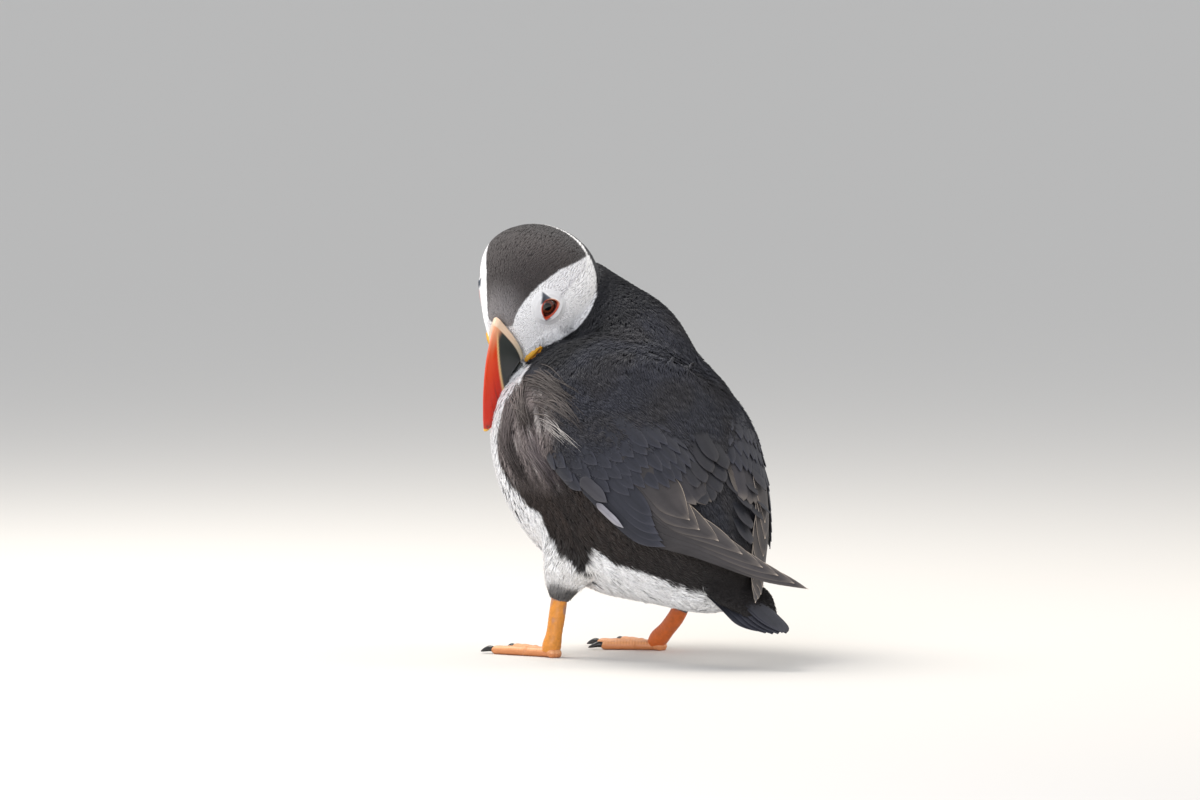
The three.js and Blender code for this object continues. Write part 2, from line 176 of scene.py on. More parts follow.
def headGrid(along, around, inset=0.0):
    # superellipse sections across the head, the widest line a little below half height,
    # and the crown and throat heights taken apart
    row = smoothRows(headRows, np.linspace(0, 1, along))
    angle = np.linspace(0, 2 * np.pi, around, endpoint=False)
    forwards, top, bottom, halfWidth, power = (row[:, k:k + 1] for k in range(5))
    middle = (top + bottom) / 2 - headBelowMiddle
    left = -rounded(np.cos(angle), power) * np.maximum(halfWidth - inset, 0.3)
    sine = rounded(np.sin(angle), power)
    height = np.where(sine > 0, top - middle, middle - bottom) - inset
    forwards = forwards + 0 * left
    forwards[0] -= inset
    forwards[-1] += inset
    return inHead(np.stack([forwards, left, middle + sine * np.maximum(height, 0.3)], axis=-1))


trunkRows = [
    (0, 72, 31, 4, 3, 3, 2.0),
    (0, 65, 34, 13, 9, 15, 2.1),
    (0, 51, 43, 27, 18, 28, 2.1),
    (0, 31, 60, 39, 32, 48, 2.1),
    (0, 9, 78, 46, 46, 59, 2.1),
    (0, -9, 95, 48.5, 52, 60.5, 2.1),
    (-5, -15, 107, 42, 48, 55, 2.0),
    (-12.5, -17, 117, 29.5, 38, 40, 2.0),
    (-17, -18, 124, 19, 25, 26, 2.0),
    (-18, -19, 128, 9, 11, 13, 2.0),
]
neckRows = [
    (-11, -14, 112, 30, 38, 38, 2.0),
    (-15, -21, 126, 25, 32, 33, 2.0),
    (-17, -32, 138, 17.5, 22, 26, 2.0),
    (-14, -42, 147, 14, 15.5, 21, 2.0),
    (-9, -50, 152, 11, 11, 16, 2.0),
]
leftThighRows = [
    (24, 2, 54, 14, 17, 17, 2),
    (28, -2, 42, 13, 15, 15, 2),
    (31, -4.6, 33, 9.4, 10, 10, 2),
    (32.5, -5.6, 26, 5.8, 6, 6, 2),
    (32.9, -6, 22.5, 4.8, 5, 5, 2),
]
rightThighRows = [
    (-22, 14, 50, 14, 17, 17, 2),
    (-21, 14, 38, 12.5, 14, 14, 2),
    (-19.5, 13.5, 28, 8.8, 9.4, 9.4, 2),
    (-18.6, 12.6, 20.5, 5.4, 5.8, 5.8, 2),
    (-18.3, 11.8, 17, 4.4, 4.8, 4.8, 2),
]
tailRows = [
    (0, 58, 36, 11, 3, 3, 2.4),
    (0.5, 67, 31.5, 15.5, 2.5, 2.5, 2.6),
    (1, 77, 26.5, 14.5, 1.7, 1.7, 3),
    (1, 87, 21, 8.5, 1.2, 1.2, 3),
    (1.5, 94, 17.5, 4.6, 0.9, 0.9, 3),
    (2, 99, 15, 1.6, 0.6, 0.6, 2),
]
# Folded wings, shoulder to tip: leading edge, inner edge, outward bulge, thickness
leftWing = {"name": "left", "side": 1, "rows": [
    (37, -16, 101, 18, 3, 122, 5, 4),
    (45.5, -5, 91, 22, 14, 119, 7.5, 7),
    (49, 11, 78, 19, 32, 108, 9, 8),
    (45.5, 30, 65.5, 10, 48, 89, 7.5, 7),
    (36.5, 49, 51.5, 6, 60.5, 67, 4.5, 5),
    (23, 67.5, 45.5, -2, 72, 53, 2.5, 3.5),
    (5, 87, 37, -5, 88, 44, 0.8, 2.2),
    (-8, 104, 33, -8.6, 104, 34.4, 0, 1),
]}
rightWing = {"name": "right", "side": -1, "rows": [
    (-45, -15, 101, -29, 0, 127, 3, 4),
    (-48, -5, 91, -27, 11, 122, 6.5, 7),
    (-48.5, 11, 78, -20, 30, 109, 8, 8),
    (-45, 29, 65.5, -12, 47, 89, 6, 7),
    (-36, 46.5, 50, -9, 59.5, 67, 3, 5),
    (-22.5, 61, 38.5, -7, 66, 46, 1.8, 3.5),
    (-4, 79, 29.5, -2, 79.5, 34, 0.8, 2.2),
    (8, 91, 27.5, 8.6, 90.6, 29, 0, 1),
]}


def wingPoint(wing, u, v, lift, face=1):
    # bent lens: u from shoulder to tip, v from leading to inner edge; bulges outwards across
    # its width, thickest in the middle, and lift stands off its outer (face 1) or inner face (-1)
    u, v, lift = np.broadcast_arrays(u, v, lift)
    row = smoothRows(wing["rows"], u)
    ahead = smoothRows(wing["rows"], np.minimum(u + 0.01, 1))
    behind = smoothRows(wing["rows"], np.maximum(u - 0.01, 0))
    direction = unit((ahead[..., :3] + ahead[..., 3:6] - behind[..., :3] - behind[..., 3:6]))
    chord = row[..., 3:6] - row[..., :3]
    width = np.linalg.norm(chord, axis=-1, keepdims=True)
    across = chord / width
    outward = unit(np.cross(direction, chord)) * wing["side"]
    share = v[..., None]
    bulge = row[..., 6:7] * 4
    normal = unit(outward - across * bulge * (1 - 2 * share) / width)
    half = row[..., 7:8] * np.sqrt(np.clip(share * (1 - share), 0, 1)) * face
    point = row[..., :3] + chord * share + outward * bulge * share * (1 - share)
    return point + normal * (half + lift[..., None] * face), normal * face


def wingGrid(wing, along, around, inset, reach):
    # closed sections of the wing's fleshy part, which ends at the share `reach` of its length
    u = np.linspace(0.0, reach, along)[:, None]
    angle = np.linspace(0, 2 * np.pi, around, endpoint=False)
    v = (1 - np.cos(angle)) / 2
    outer, normal = wingPoint(wing, u, v, 0.0)
    inner, _ = wingPoint(wing, u, v, 0.0, -1)
    middle = (outer + inner) / 2
    half = np.maximum(np.linalg.norm(outer - inner, axis=-1, keepdims=True) / 2 - inset, 0.25)
    tapered = np.sqrt(np.clip((reach - u) / 0.12, 0.02, 1))[..., None]
    return middle + normal * half * tapered * np.sign(np.sin(angle) + 1e-9)[None, :, None] * wing["side"]


class ShellStack:
    # gathers closed shells, one after another, into one mesh with a colour for each point
    def __init__(self):
        self.points, self.colours, self.faces, self.start = [], [], {}, 0

    def put(self, points, faces, colour=None):
        self.points.append(points)
        self.colours.append(colour)
        for face in faces:
            self.faces.setdefault(face.shape[1], []).append(face + self.start)
        self.start += len(points)

    def joined(self):
        return np.vstack(self.points), [np.vstack(group) for group in self.faces.values()]


def withEnds(colour):
    # colours of a grid of rings, then of the two points that close its ends
    return np.vstack([colour.reshape(-1, 3), colour[0, 0], colour[-1, 0]])


def closeRings(grid):
    # points and faces of a grid of rings, closed by a fan over each end
    rings, around = grid.shape[:2]
    points = np.vstack([grid.reshape(-1, 3), grid[0].mean(0), grid[-1].mean(0)])
    i, j = np.meshgrid(np.arange(rings - 1), np.arange(around), indexing="ij")
    k = (j + 1) % around
    quads = np.stack([i * around + j, i * around + k, (i + 1) * around + k, (i + 1) * around + j], -1)
    j = np.arange(around)
    k = (j + 1) % around
    last = (rings - 1) * around
    first = np.stack([0 * j + rings * around, k, j], -1)
    end = np.stack([0 * j + rings * around + 1, last + j, last + k], -1)
    return points, [quads.reshape(-1, 4), first, end]


def meshFrom(name, points, faces):
    mesh = bpy.data.meshes.new(name)
    counts = np.concatenate([np.full(len(f), f.shape[1]) for f in faces])
    loops = np.concatenate([f.ravel() for f in faces]).astype(np.int32)
    mesh.vertices.add(len(points))
    mesh.vertices.foreach_set("co", np.ascontiguousarray(points, np.float32).ravel())
    mesh.loops.add(len(loops))
    mesh.loops.foreach_set("vertex_index", loops)
    mesh.polygons.add(len(counts))
    mesh.polygons.foreach_set("loop_start", np.concatenate([[0], np.cumsum(counts)[:-1]]).astype(np.int32))
    mesh.update(calc_edges=True)
    return mesh


def addPiece(name, points, faces, material, slotName, colour, maps=None, replaces=()):
    # a finished piece in the frame's metres, with per-point colour and UV maps
    mesh = meshFrom(name, toWorld(points), faces)
    layer = mesh.color_attributes.new("plume", "FLOAT_COLOR", "POINT")
    values = np.ones((len(points), 4), np.float32)
    values[:, :3] = np.clip(colour, 0, 1)
    layer.data.foreach_set("color", values.ravel())
    corner = np.concatenate([f.ravel() for f in faces])
    for key, uv in (maps or {}).items():
        layer = mesh.uv_layers.new(name=key)
        layer.data.foreach_set("uv", np.ascontiguousarray(uv[corner], np.float32).ravel())
    mesh.polygons.foreach_set("use_smooth", np.full(len(mesh.polygons), True))
    mesh.materials.append(material)
    piece = bpy.data.objects.new(name, mesh)
    bpy.context.collection.objects.link(piece)
    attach(piece, "root")
    if replaces:
        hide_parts(*replaces)


# One skin under all the feathers: the lofts drawn in by the coat's depth, joined without a seam
skinSizes = {
    "headCoat": 0.7,
    "neckCoat": 1.3,
    "bodyCoat": 1.9,
    "thighCoat": 1.3,
    "wingCoat": 1.6,
    "wingReach": 0.5,
    "voxel": 1.3,
    "smoothing": 5,
    "napeRounds": 320,
    "napeSink": 0.75,
    # each hollow: from, to, width, depth, and the way it sinks
    "hollows": [((29, -35, 121), (12, -19, 134), 10.5, 5.0, (-0.15, -0.2, -0.97)),
                ((24, -37, 123), (23, -31, 127), 9.0, 4.2, (-0.64, -0.76, -0.1))],
    "socketWide": 5.6,
    "socketDeep": 1.7,
    # plugs that close the pocket between the right wing's inner edge and the back
    "plugs": [[(-32, 9, 112, 3.5, 3.5, 3.5, 2), (-29.5, 18, 112.5, 4.5, 4.5, 4.5, 2),
               (-26, 27, 109, 4, 4, 4, 2)],
              [(-39.5, -13, 104, 3.5, 3.5, 3.5, 2), (-38.5, -3, 104, 5.5, 6.5, 5.5, 2),
               (-36, 11, 102, 6, 6.5, 6, 2)]],
    "wingRootWide": 7.0,
    "wingRootRounds": 60,
}
# The eye: skin is where its axis meets the face; the ball lies sunk behind it, turned to gaze
eyeSize = {
    "skin": (-14.2, 16.3, -4.4),
    "axis": (0.496, 0.808, 0.318),
    "gaze": (0.547, 0.670, 0.500),
    "sunk": 4.1,
    "radius": 5.2,
    "across": (-0.45, 0.865, -0.222),
    "upward": (-0.735, -0.218, 0.641),
    "clear": 6.4,
    "rightShift": (-2.6, -2.5, -4.4),
    "rightAxis": (0.45, 0.885, 0.12),
}
regions = ["trunk", "neck", "head", "leftThigh", "rightThigh", "leftWing", "rightWing", "tail"]


def isRegion(kind, *names):
    return np.isin(kind, [regions.index(name) for name in names])


def skinLofts(size):
    # each part of the body as rings, and the way its feathers lie along the rings (+1 or -1)
    return [
        (tubeGrid(trunkRows, 70, 96, size["bodyCoat"]), -1),
        (tubeGrid(neckRows, 34, 72, size["neckCoat"]), -1),
        (headGrid(56, 80, size["headCoat"]), 1),
        (tubeGrid(leftThighRows, 30, 36, size["thighCoat"]), 1),
        (tubeGrid(rightThighRows, 30, 36, size["thighCoat"]), 1),
        (wingGrid(leftWing, 60, 56, size["wingCoat"], size["wingReach"]), 1),
        (wingGrid(rightWing, 60, 56, size["wingCoat"], size["wingReach"]), 1),
        (tubeGrid(tailRows[:4], 24, 32, 0.6), 1),
    ]


def readArray(items, key, width, kind):
    values = np.empty(len(items) * width, kind)
    items.foreach_get(key, values)
    return values.reshape(-1, width)


def joinSkin(size):
    # every loft as a closed shell in one mesh, remeshed on even voxels and relaxed
    lofts = skinLofts(size)
    stack = ShellStack()
    for grid in [grid for grid, _ in lofts] + [tubeGrid(rows, 14, 20) for rows in size["plugs"]]:
        stack.put(*closeRings(grid))
    points, faces = stack.joined()
    shells = bpy.data.objects.new("skinShells", meshFrom("skinShells", toWorld(points), faces))
    bpy.context.collection.objects.link(shells)
    remesh = shells.modifiers.new("join", "REMESH")
    remesh.mode = "VOXEL"
    remesh.voxel_size = size["voxel"] * 0.001
    joined = bpy.data.meshes.new_from_object(shells.evaluated_get(bpy.context.evaluated_depsgraph_get()))
    bpy.data.objects.remove(shells)
    joined.calc_loop_triangles()
    skin = toBird(readArray(joined.vertices, "co", 3, np.float32))
    edges = readArray(joined.edges, "vertices", 2, np.int32)
    triangles = readArray(joined.loop_triangles, "vertices", 3, np.int32)
    skin, edges, triangles = outerShell(skin, edges, triangles)
    skin = relax(skin, edges, size["smoothing"], 0.6)
    skin = relaxWingRoots(skin, edges, size)
    skin = fillNape(skin, edges, triangles, size)
    skin = sinkSockets(sinkCheekHollow(skin, size), size)
    return skin, triangles, edges, lofts


def neighbourMean(values, edges):
    # mean of each point's neighbours along the mesh edges
    count = np.bincount(edges.ravel(), minlength=len(values))[:, None]
    a, b = edges[:, 0], edges[:, 1]
    total = np.stack([
        np.bincount(a, values[b, k], len(values)) + np.bincount(b, values[a, k], len(values))
        for k in range(values.shape[1])
    ], -1)
    return total / np.maximum(count, 1)


def relax(points, edges, rounds, share):
    # every point moves its share of the way to the mean of its neighbours, round after round
    for _ in range(rounds):
        points = points + share * (neighbourMean(points, edges) - points)
    return points


def faceNormals(points, triangles):
    # normals as long as twice the face's area
    a, b, c = (points[triangles[:, k]] for k in range(3))
    return np.cross(b - a, c - a)


def pointNormals(points, triangles):
    total = np.zeros_like(points)
    for k in range(3):
        np.add.at(total, triangles[:, k], faceNormals(points, triangles))
    return unit(total)


def outerShell(skin, edges, triangles):
    # pockets shut in between wings and body go: labels spread along the edges until every shell
    # has one, then only the shell of the first point furthest out stays
    label = np.arange(len(skin))
    while True:
        lower = label.copy()
        np.minimum.at(lower, edges[:, 0], label[edges[:, 1]])
        np.minimum.at(lower, edges[:, 1], label[edges[:, 0]])
        lower = lower[lower]
        if (lower == label).all():
            break
        label = lower
    keep = label == label[np.argmax(skin[:, 1])]
    place = np.cumsum(keep) - 1
    print("skin shells:", len(np.unique(label)), "points inside pockets:", int((~keep).sum()))
    return skin[keep], place[edges[keep[edges[:, 0]]]], place[triangles[keep[triangles[:, 0]]]]


def relaxWingRoots(skin, edges, size):
    # the step where each wing's inner edge meets the back, relaxed by a bell about that edge
    t = np.linspace(0, 1, 40)
    inner = np.vstack([smoothRows(np.array(wing["rows"])[:5, 3:6], t) for wing in (leftWing, rightWing)])
    gap = np.min([np.linalg.norm(skin - point, axis=1) for point in inner], axis=0)
    mask = np.exp(-((gap / size["wingRootWide"]) ** 2))[:, None]
    return relax(skin, edges, size["wingRootRounds"], 0.6 * mask)


def awayFromHead(points):
    # 0 on the head, easing to 1 a few millimetres off it
    h = headwards(points)
    reach = np.sqrt(((h[:, 0] + 27) / 30) ** 2 + (h[:, 1] / 27) ** 2 + ((h[:, 2] + 12) / 28) ** 2)
    return ease((reach - 1.02) / 0.3)


def fillNape(skin, edges, triangles, size):
    # loose skin between neck and back: relax that stretch many times, then let hollows fill
    # wholly and bulges sink only in part
    mask = (awayFromHead(skin) * ease((skin[:, 2] - 88) / 22) * ease((skin[:, 1] + 44) / 14))[:, None]
    relaxed = relax(skin, edges, size["napeRounds"], 0.7 * mask)
    normal = pointNormals(relaxed, triangles)
    shift = ((relaxed - skin) * normal).sum(1, keepdims=True)
    skin = skin + normal * np.where(shift > 0, shift, size["napeSink"] * shift)
    return relax(skin, edges, 6, 0.6 * mask)


def headShare(points):
    # how far out in the head's superellipse sections each point lies: 1 on the surface
    h = headwards(points)
    x = np.clip(h[:, 0], -54, 0)
    rows = np.array(headRows)[::-1]
    top, low, wide = (np.interp(x, rows[:, 0], rows[:, k]) for k in (1, 2, 3))
    middle = (top + low) / 2 - headBelowMiddle
    half = np.where(h[:, 2] > middle, top - middle, middle - low)
    share = (np.abs(h[:, 1] / wide) ** 2.2 + np.abs((h[:, 2] - middle) / half) ** 2.2) ** (1 / 2.2)
    return share + np.maximum(h[:, 0], 0) * 0.2


def offLine(points, start, end):
    # distance of each point from the straight line between two places
    run = end - start
    share = np.clip(((points - start) @ run) / (run @ run), 0, 1)[:, None]
    return np.linalg.norm(points - start - share * run, axis=1)


def sinkCheekHollow(skin, size):
    # shaded hollows under the turned cheek: skin off the head sinks by a bell of the distance
    # from a short line
    free = ease((headShare(skin) - 1.0) / 0.12)
    for start, end, wide, deep, way in size["hollows"]:
        off = offLine(skin, np.array(start, float), np.array(end, float))
        drop = deep * np.exp(-((off / wide) ** 2)) * free
        skin = skin + drop[:, None] * np.array(way)
    return skin


def sinkSockets(skin, size):
    # shallow round socket under each eye: skin within its width sinks along the socket's axis
    h = headwards(skin)
    for side in (1, -1):
        place, axis, _, _ = faceFrame(side)
        toEye = h - place
        deep = toEye @ axis
        off = np.linalg.norm(toEye - deep[:, None] * axis, axis=1)
        drop = size["socketDeep"] * ease((size["socketWide"] - off) / 1.6) * (deep > -6)
        h = h - drop[:, None] * axis
    return inHead(h)


def faceFrame(side):
    # an eye's place on the face, its axis, and the right and up of its own outline
    mirror = np.array([1, side, 1])
    place, across, upward = (np.array(eyeSize[k]) * mirror for k in ("skin", "across", "upward"))
    if side < 0:
        place = place + eyeSize["rightShift"]
    axis = np.array(eyeSize["axis" if side > 0 else "rightAxis"]) * mirror
    return place, unit(axis), unit(across), unit(upward)


skinPoints, skinTriangles, skinEdges, lofts = joinSkin(skinSizes)
print("skin joined:", len(skinPoints), "points")


def skinFields():
    # for each skin point: the loft it came from, the lie of its feathers and its place on that loft
    samples, lies, kinds, charts = [], [], [], []
    for kind, (grid, way) in enumerate(lofts):
        samples.append(grid.reshape(-1, 3))
        lies.append((np.gradient(grid, axis=0) * way).reshape(-1, 3))
        kinds.append(np.full(grid.shape[0] * grid.shape[1], kind))
        along, around = np.meshgrid(
            np.linspace(0, 1, grid.shape[0]), np.linspace(0, 1, grid.shape[1]), indexing="ij")
        charts.append(np.stack([around, along], -1).reshape(-1, 2))
    samples, lies = np.vstack(samples), unit(np.vstack(lies))
    kinds, charts = np.concatenate(kinds), np.vstack(charts)
    tree = KDTree(len(samples))
    for index, point in enumerate(samples.tolist()):
        tree.insert(point, index)
    tree.balance()
    nearest = np.array([tree.find(point)[1] for point in skinPoints.tolist()])
    lie = lies[nearest]
    for _ in range(100):
        lie = unit(0.5 * lie + 0.5 * neighbourMean(lie, skinEdges))
    return kinds[nearest], lie, charts[nearest]


skinKind, skinLie, skinChart = skinFields()
skinTree = BVHTree.FromPolygons(skinPoints.tolist(), skinTriangles.tolist())
print("lie of the coat worked out")


skinArea = np.linalg.norm(faceNormals(skinPoints, skinTriangles), axis=1) / 2
skinNormal = pointNormals(skinPoints, skinTriangles)


def dropOnSkin(points):
    # nearest place on the skin of each point: place, smooth normal and lie of the feathers there
    hits = [skinTree.find_nearest(point) for point in points.reshape(-1, 3).tolist()]
    place = np.array([hit[0] for hit in hits])
    face = np.array([hit[2] for hit in hits])
    corners = skinTriangles[face]
    gap = np.linalg.norm(skinPoints[corners] - place[:, None], axis=2)
    weight = 1 / np.maximum(gap, 0.05)
    weight = (weight / weight.sum(1, keepdims=True))[..., None]
    normal = unit((skinNormal[corners] * weight).sum(1))
    lie = (skinLie[corners] * weight).sum(1)
    lie = unit(lie - normal * (lie * normal).sum(1, keepdims=True))
    shape = points.shape
    return place.reshape(shape), normal.reshape(shape), lie.reshape(shape), face


def scatterRoots(wanted, spacing, seed, tries=5.0):
    # random roots over the skin by area where wanted(place, kind) holds, thinned on a lattice of
    # cells as wide as the spacing, whose steps of size follow the coat
    chance = np.random.default_rng(seed)
    middle = skinPoints[skinTriangles].mean(1)
    kind = skinKind[skinTriangles[:, 0]]
    chosen = np.flatnonzero(wanted(middle, kind))
    gap = spacing(middle[chosen], kind[chosen])
    share = skinArea[chosen] / gap**2
    count = int(share.sum() * tries)
    face = chosen[chance.choice(len(chosen), count, p=share / share.sum())]
    a, b = chance.random((2, count, 1))
    flip = a + b > 1
    a, b = np.where(flip, 1 - a, a), np.where(flip, 1 - b, b)
    p, q, r = (skinPoints[skinTriangles[face, k]] for k in range(3))
    root = p + (q - p) * a + (r - p) * b
    kind = skinKind[skinTriangles[face, 0]]
    step = np.round(np.log2(spacing(root, kind)) * 3).astype(int)
    cell = np.floor(root / (2.0 ** (step / 3))[:, None] + 0.37 * step[:, None]).astype(int)
    _, keep = np.unique(np.column_stack([step, cell]), axis=0, return_index=True)
    keep.sort()
    chart = skinChart[skinTriangles[face[keep], 0]]
    return root[keep], kind[keep], chart, chance


def layShafts(root, length, turn, stations):
    # walk each shaft over the skin in short steps: step along the lie turned by its own angle,
    # then drop onto the skin again
    place, normal, lie, _ = dropOnSkin(root)
    shaft, normals = [place], [normal]
    for _ in range(stations - 1):
        heading = lie * np.cos(turn)[:, None] + np.cross(normal, lie) * np.sin(turn)[:, None]
        step = heading * (length / (stations - 1))[:, None]
        place, normal, lie, _ = dropOnSkin(place + step)
        shaft.append(place)
        normals.append(normal)
    return np.stack(shaft, 1), np.stack(normals, 1)


def bladeSolids(shaft, normal, halfWidth, lift, thickness):
    # thin solid blades: at each station a left edge, a crest and a right edge over the shaft line
    along = unit(np.gradient(shaft, axis=1))
    side = unit(np.cross(along, normal))
    base = shaft + normal * lift[..., None]
    across = side * halfWidth[..., None]
    ring = np.stack([base - across, base + normal * thickness[..., None], base + across], 2)
    return ring.reshape(-1, 3), ringFaces(len(shaft), shaft.shape[1], 3)


def ringFaces(count, stations, sides):
    # walls between the rings of every solid, then a cap at its root and at its tip
    base = np.arange(count)[:, None, None] * stations * sides
    i = np.arange(stations - 1)[:, None] * sides
    j = np.arange(sides)
    k = (j + 1) % sides
    quads = np.stack([base + i + j, base + i + k, base + i + sides + k, base + i + sides + j], -1)
    start = base[:, 0]
    return [quads.reshape(-1, 4), start + j[::-1], start + (stations - 1) * sides + j]


def rootMap(chart, kind, s, patch=0.003):
    # the coat's bake map: each blade a small patch at its root's place on its loft's unwrap
    blade = np.stack(np.broadcast_arrays(np.array([0.0, 0.5, 1.0]), s[:, None]), -1).reshape(-1, 2)
    place = np.stack([(kind + 0.02 + 0.96 * chart[:, 0]) / len(regions), 0.01 + 0.98 * chart[:, 1]], -1)
    return (place[:, None] + (blade - 0.5) * patch).reshape(-1, 2)


# Markings: one function of place colours both the skin and every feather
plumageColours = {
    "slate": "#292a30",
    "slateLight": "#43444d",
    "brownBlack": "#33302f",
    "white": "#f7f6f5",
    "whiteShade": "#dcdcdf",
    "flankDark": "#211d1c",
    "flankBrown": "#3c322d",
    "breastGrey": "#8a7f7c",
    "breastPale": "#b9b2ae",
    "breastDark": "#3a3331",
    "vent": "#8e9384",
    "cuff": "#4a4644",
    "cap": "#433d3c",
    "capDark": "#2b2827",
    "forehead": "#8f8a89",
    "collar": "#1d1d20",
    "cheek": "#f8f7f7",
    "cheekGrey": "#d8d6da",
    "cheekShade": "#a9a5ab",
    "shadeBelowEye": "#c6c2c6",
}
tint = linearAll(plumageColours)

# Edge between white belly and dark flank: height at each place along the body (y, z)
flankEdge = np.array([
    (-45, 77), (-27, 66), (-13.6, 62.8), (-8.4, 58.9), (-5.8, 52.8), (0, 46.9), (5, 43), (8.7, 35.9),
    (11.9, 41.2), (21.8, 47.3), (22.5, 44.8), (27.5, 42.1), (33.3, 40.3), (44.1, 36.7), (54.5, 32),
    (60.9, 30.1), (70, 27), (100, 10),
])
# Side edge of the white breast: place along the body at each height (z, y)
breastEdge = np.array([(55, -14), (65, -18), (72, -27), (81, -33), (94, -35), (104, -33), (108, -28),
                       (114, -27), (121, -25), (130, -22)])
# Front edge of the folded wing (y, z)
wingFront = np.array([(-20, 118), (-2, 106), (3.4, 95), (11.8, 89), (23.2, 78), (33, 68), (42.5, 60),
                      (49.6, 52), (66.5, 47.5), (90, 40)])
# Head, in its own frame: lower edge of the cap and lower edge of the white cheek (forwards, up)
capEdge = np.array([(-49, -7), (-47, -5), (-43, -2.1), (-38.5, 0.9), (-33.8, 3.3), (-27.6, 5.7),
                    (-22.7, 5.9), (-17.3, 5.4), (-13.4, 4.6), (-9.1, 3), (-5.4, 0.8), (-2.5, -2),
                    (-0.9, -4.8), (2, -9)])
cheekEdge = np.array([(-48, -1.5), (-45, -3.5), (-42.8, -6.7), (-39.5, -11.3), (-34.3, -15.3),
                      (-28, -18.6), (-23, -24), (-18, -28), (2, -28)])
# The cheek's lower rim is a slanted cut through the head: how far up and back a point lies
# against how far out it lies, both in the head's own frame
cheekCut = {"outward": (-0.45, 0.865, -0.222), "upBack": (-0.736, -0.219, 0.641),
            "rim": np.array([(5, -23), (10, -19), (16, -14.5), (19, -12.2), (22.6, -11), (25.9, -9.2),
                             (29.3, -7.3), (32.8, -5), (35.3, -2.3), (37.9, 1.1), (39.6, 4.5), (40.7, 7.9)])}


def alongCoat(p):
    # turned so that the third coordinate runs down the flanks, as the feathers there do
    turn = math.radians(28)
    y = p[:, 1] * math.cos(turn) + p[:, 2] * math.sin(turn)
    z = -p[:, 1] * math.sin(turn) + p[:, 2] * math.cos(turn)
    return np.stack([p[:, 0], y, z], -1)


def bodyColour(p):
    x, y, z = p[:, 0], p[:, 1], p[:, 2]
    fine = noise(p * [1, 1, 0.45], 1.6, 1)
    broad = noise(p, 7, 2)
    down = alongCoat(p)
    streak = 0.65 * noise(down * [1, 1, 0.2], 2.6, 3) + 0.35 * noise(down * [1, 1, 0.3], 6.5, 12)
    wild = (noise(down * [1, 1, 0.22], 1.7, 4) + 0.8 * noise(down * [1, 1, 0.3], 4.5, 13) - 0.9) * 2
    # dark back and wings, finely mottled
    dark = blend(tint["slate"], tint["slateLight"], 0.45 * fine + 0.25 * broad)
    dark = blend(dark, tint["brownBlack"], 0.5 * ease((noise(p, 13, 5) - 0.45) * 4))
    flank = blend(tint["flankDark"], tint["flankBrown"], streak * ease((z - 34) / 26))
    front = np.interp(y, wingFront[:, 0], wingFront[:, 1])
    dark = blend(flank, dark, ease((z - front + 3) / 4))
    # grey, streaky side of the breast in front of the wing
    grey = blend(tint["breastDark"], tint["breastGrey"], ease((streak - 0.22) * 2.0))
    grey = blend(grey, tint["breastPale"], 0.8 * ease((noise(down * [1, 1, 0.16], 2.4, 6) - 0.6) * 4))
    sideways = ease((y + 52) / 8) * ease((16 - y) / 14) * ease((z - 66) / 14) * ease((117 - z) / 9)
    dark = blend(dark, grey, sideways * ease((front - z + 14) / 12) * ease((np.abs(x) - 18) / 14))
    # white breast and belly with a ragged edge
    edge = np.interp(y, flankEdge[:, 0], flankEdge[:, 1]) + 2.4 * wild
    below = ease((edge - z) / 1.2 + 0.5)
    fore = np.interp(z, breastEdge[:, 0], breastEdge[:, 1]) + 3.6 * wild
    chestLine = 119.5 + 0.8 * wild - 5 * ease((-x - 4) / 30)
    ahead = ease((fore - y) / 2.5 + 0.5) * ease((chestLine + 1 - z) / 2 + 0.5) * ease((z - 50) / 8)
    white = blend(tint["white"], tint["whiteShade"], 0.45 * broad * fine)
    white = blend(white, tint["vent"], 0.5 * ease((y - 58) / 8) * ease((noise(p, 5, 7) - 0.3) * 3))
    colour = blend(dark, white, np.maximum(below, ahead))
    # black collar over the neck
    collar = blend(tint["collar"], tint["slate"], 0.6 * broad)
    colour = blend(colour, collar, ease((z - chestLine) / 2 + 0.5) * ease((8 - y) / 12))
    return colour


def cuffColour(p, colour):
    # dusky feathers where thigh meets shank
    left = p[:, 0] > 0
    edge = np.where(left, 32, 22.5) + 3 * (noise(p, 2.5, 10) - 0.5)
    off = np.where(left, np.hypot(p[:, 0] - 32.6, p[:, 1] + 5.6), np.hypot(p[:, 0] + 18.5, p[:, 1] - 12.5))
    dusky = blend(tint["cuff"], tint["flankDark"], noise(p * [1, 1, 0.4], 1.4, 11))
    return blend(colour, dusky, 0.9 * ease((edge + 2 - p[:, 2]) / 7) * ease((9.5 - off) / 2.5))


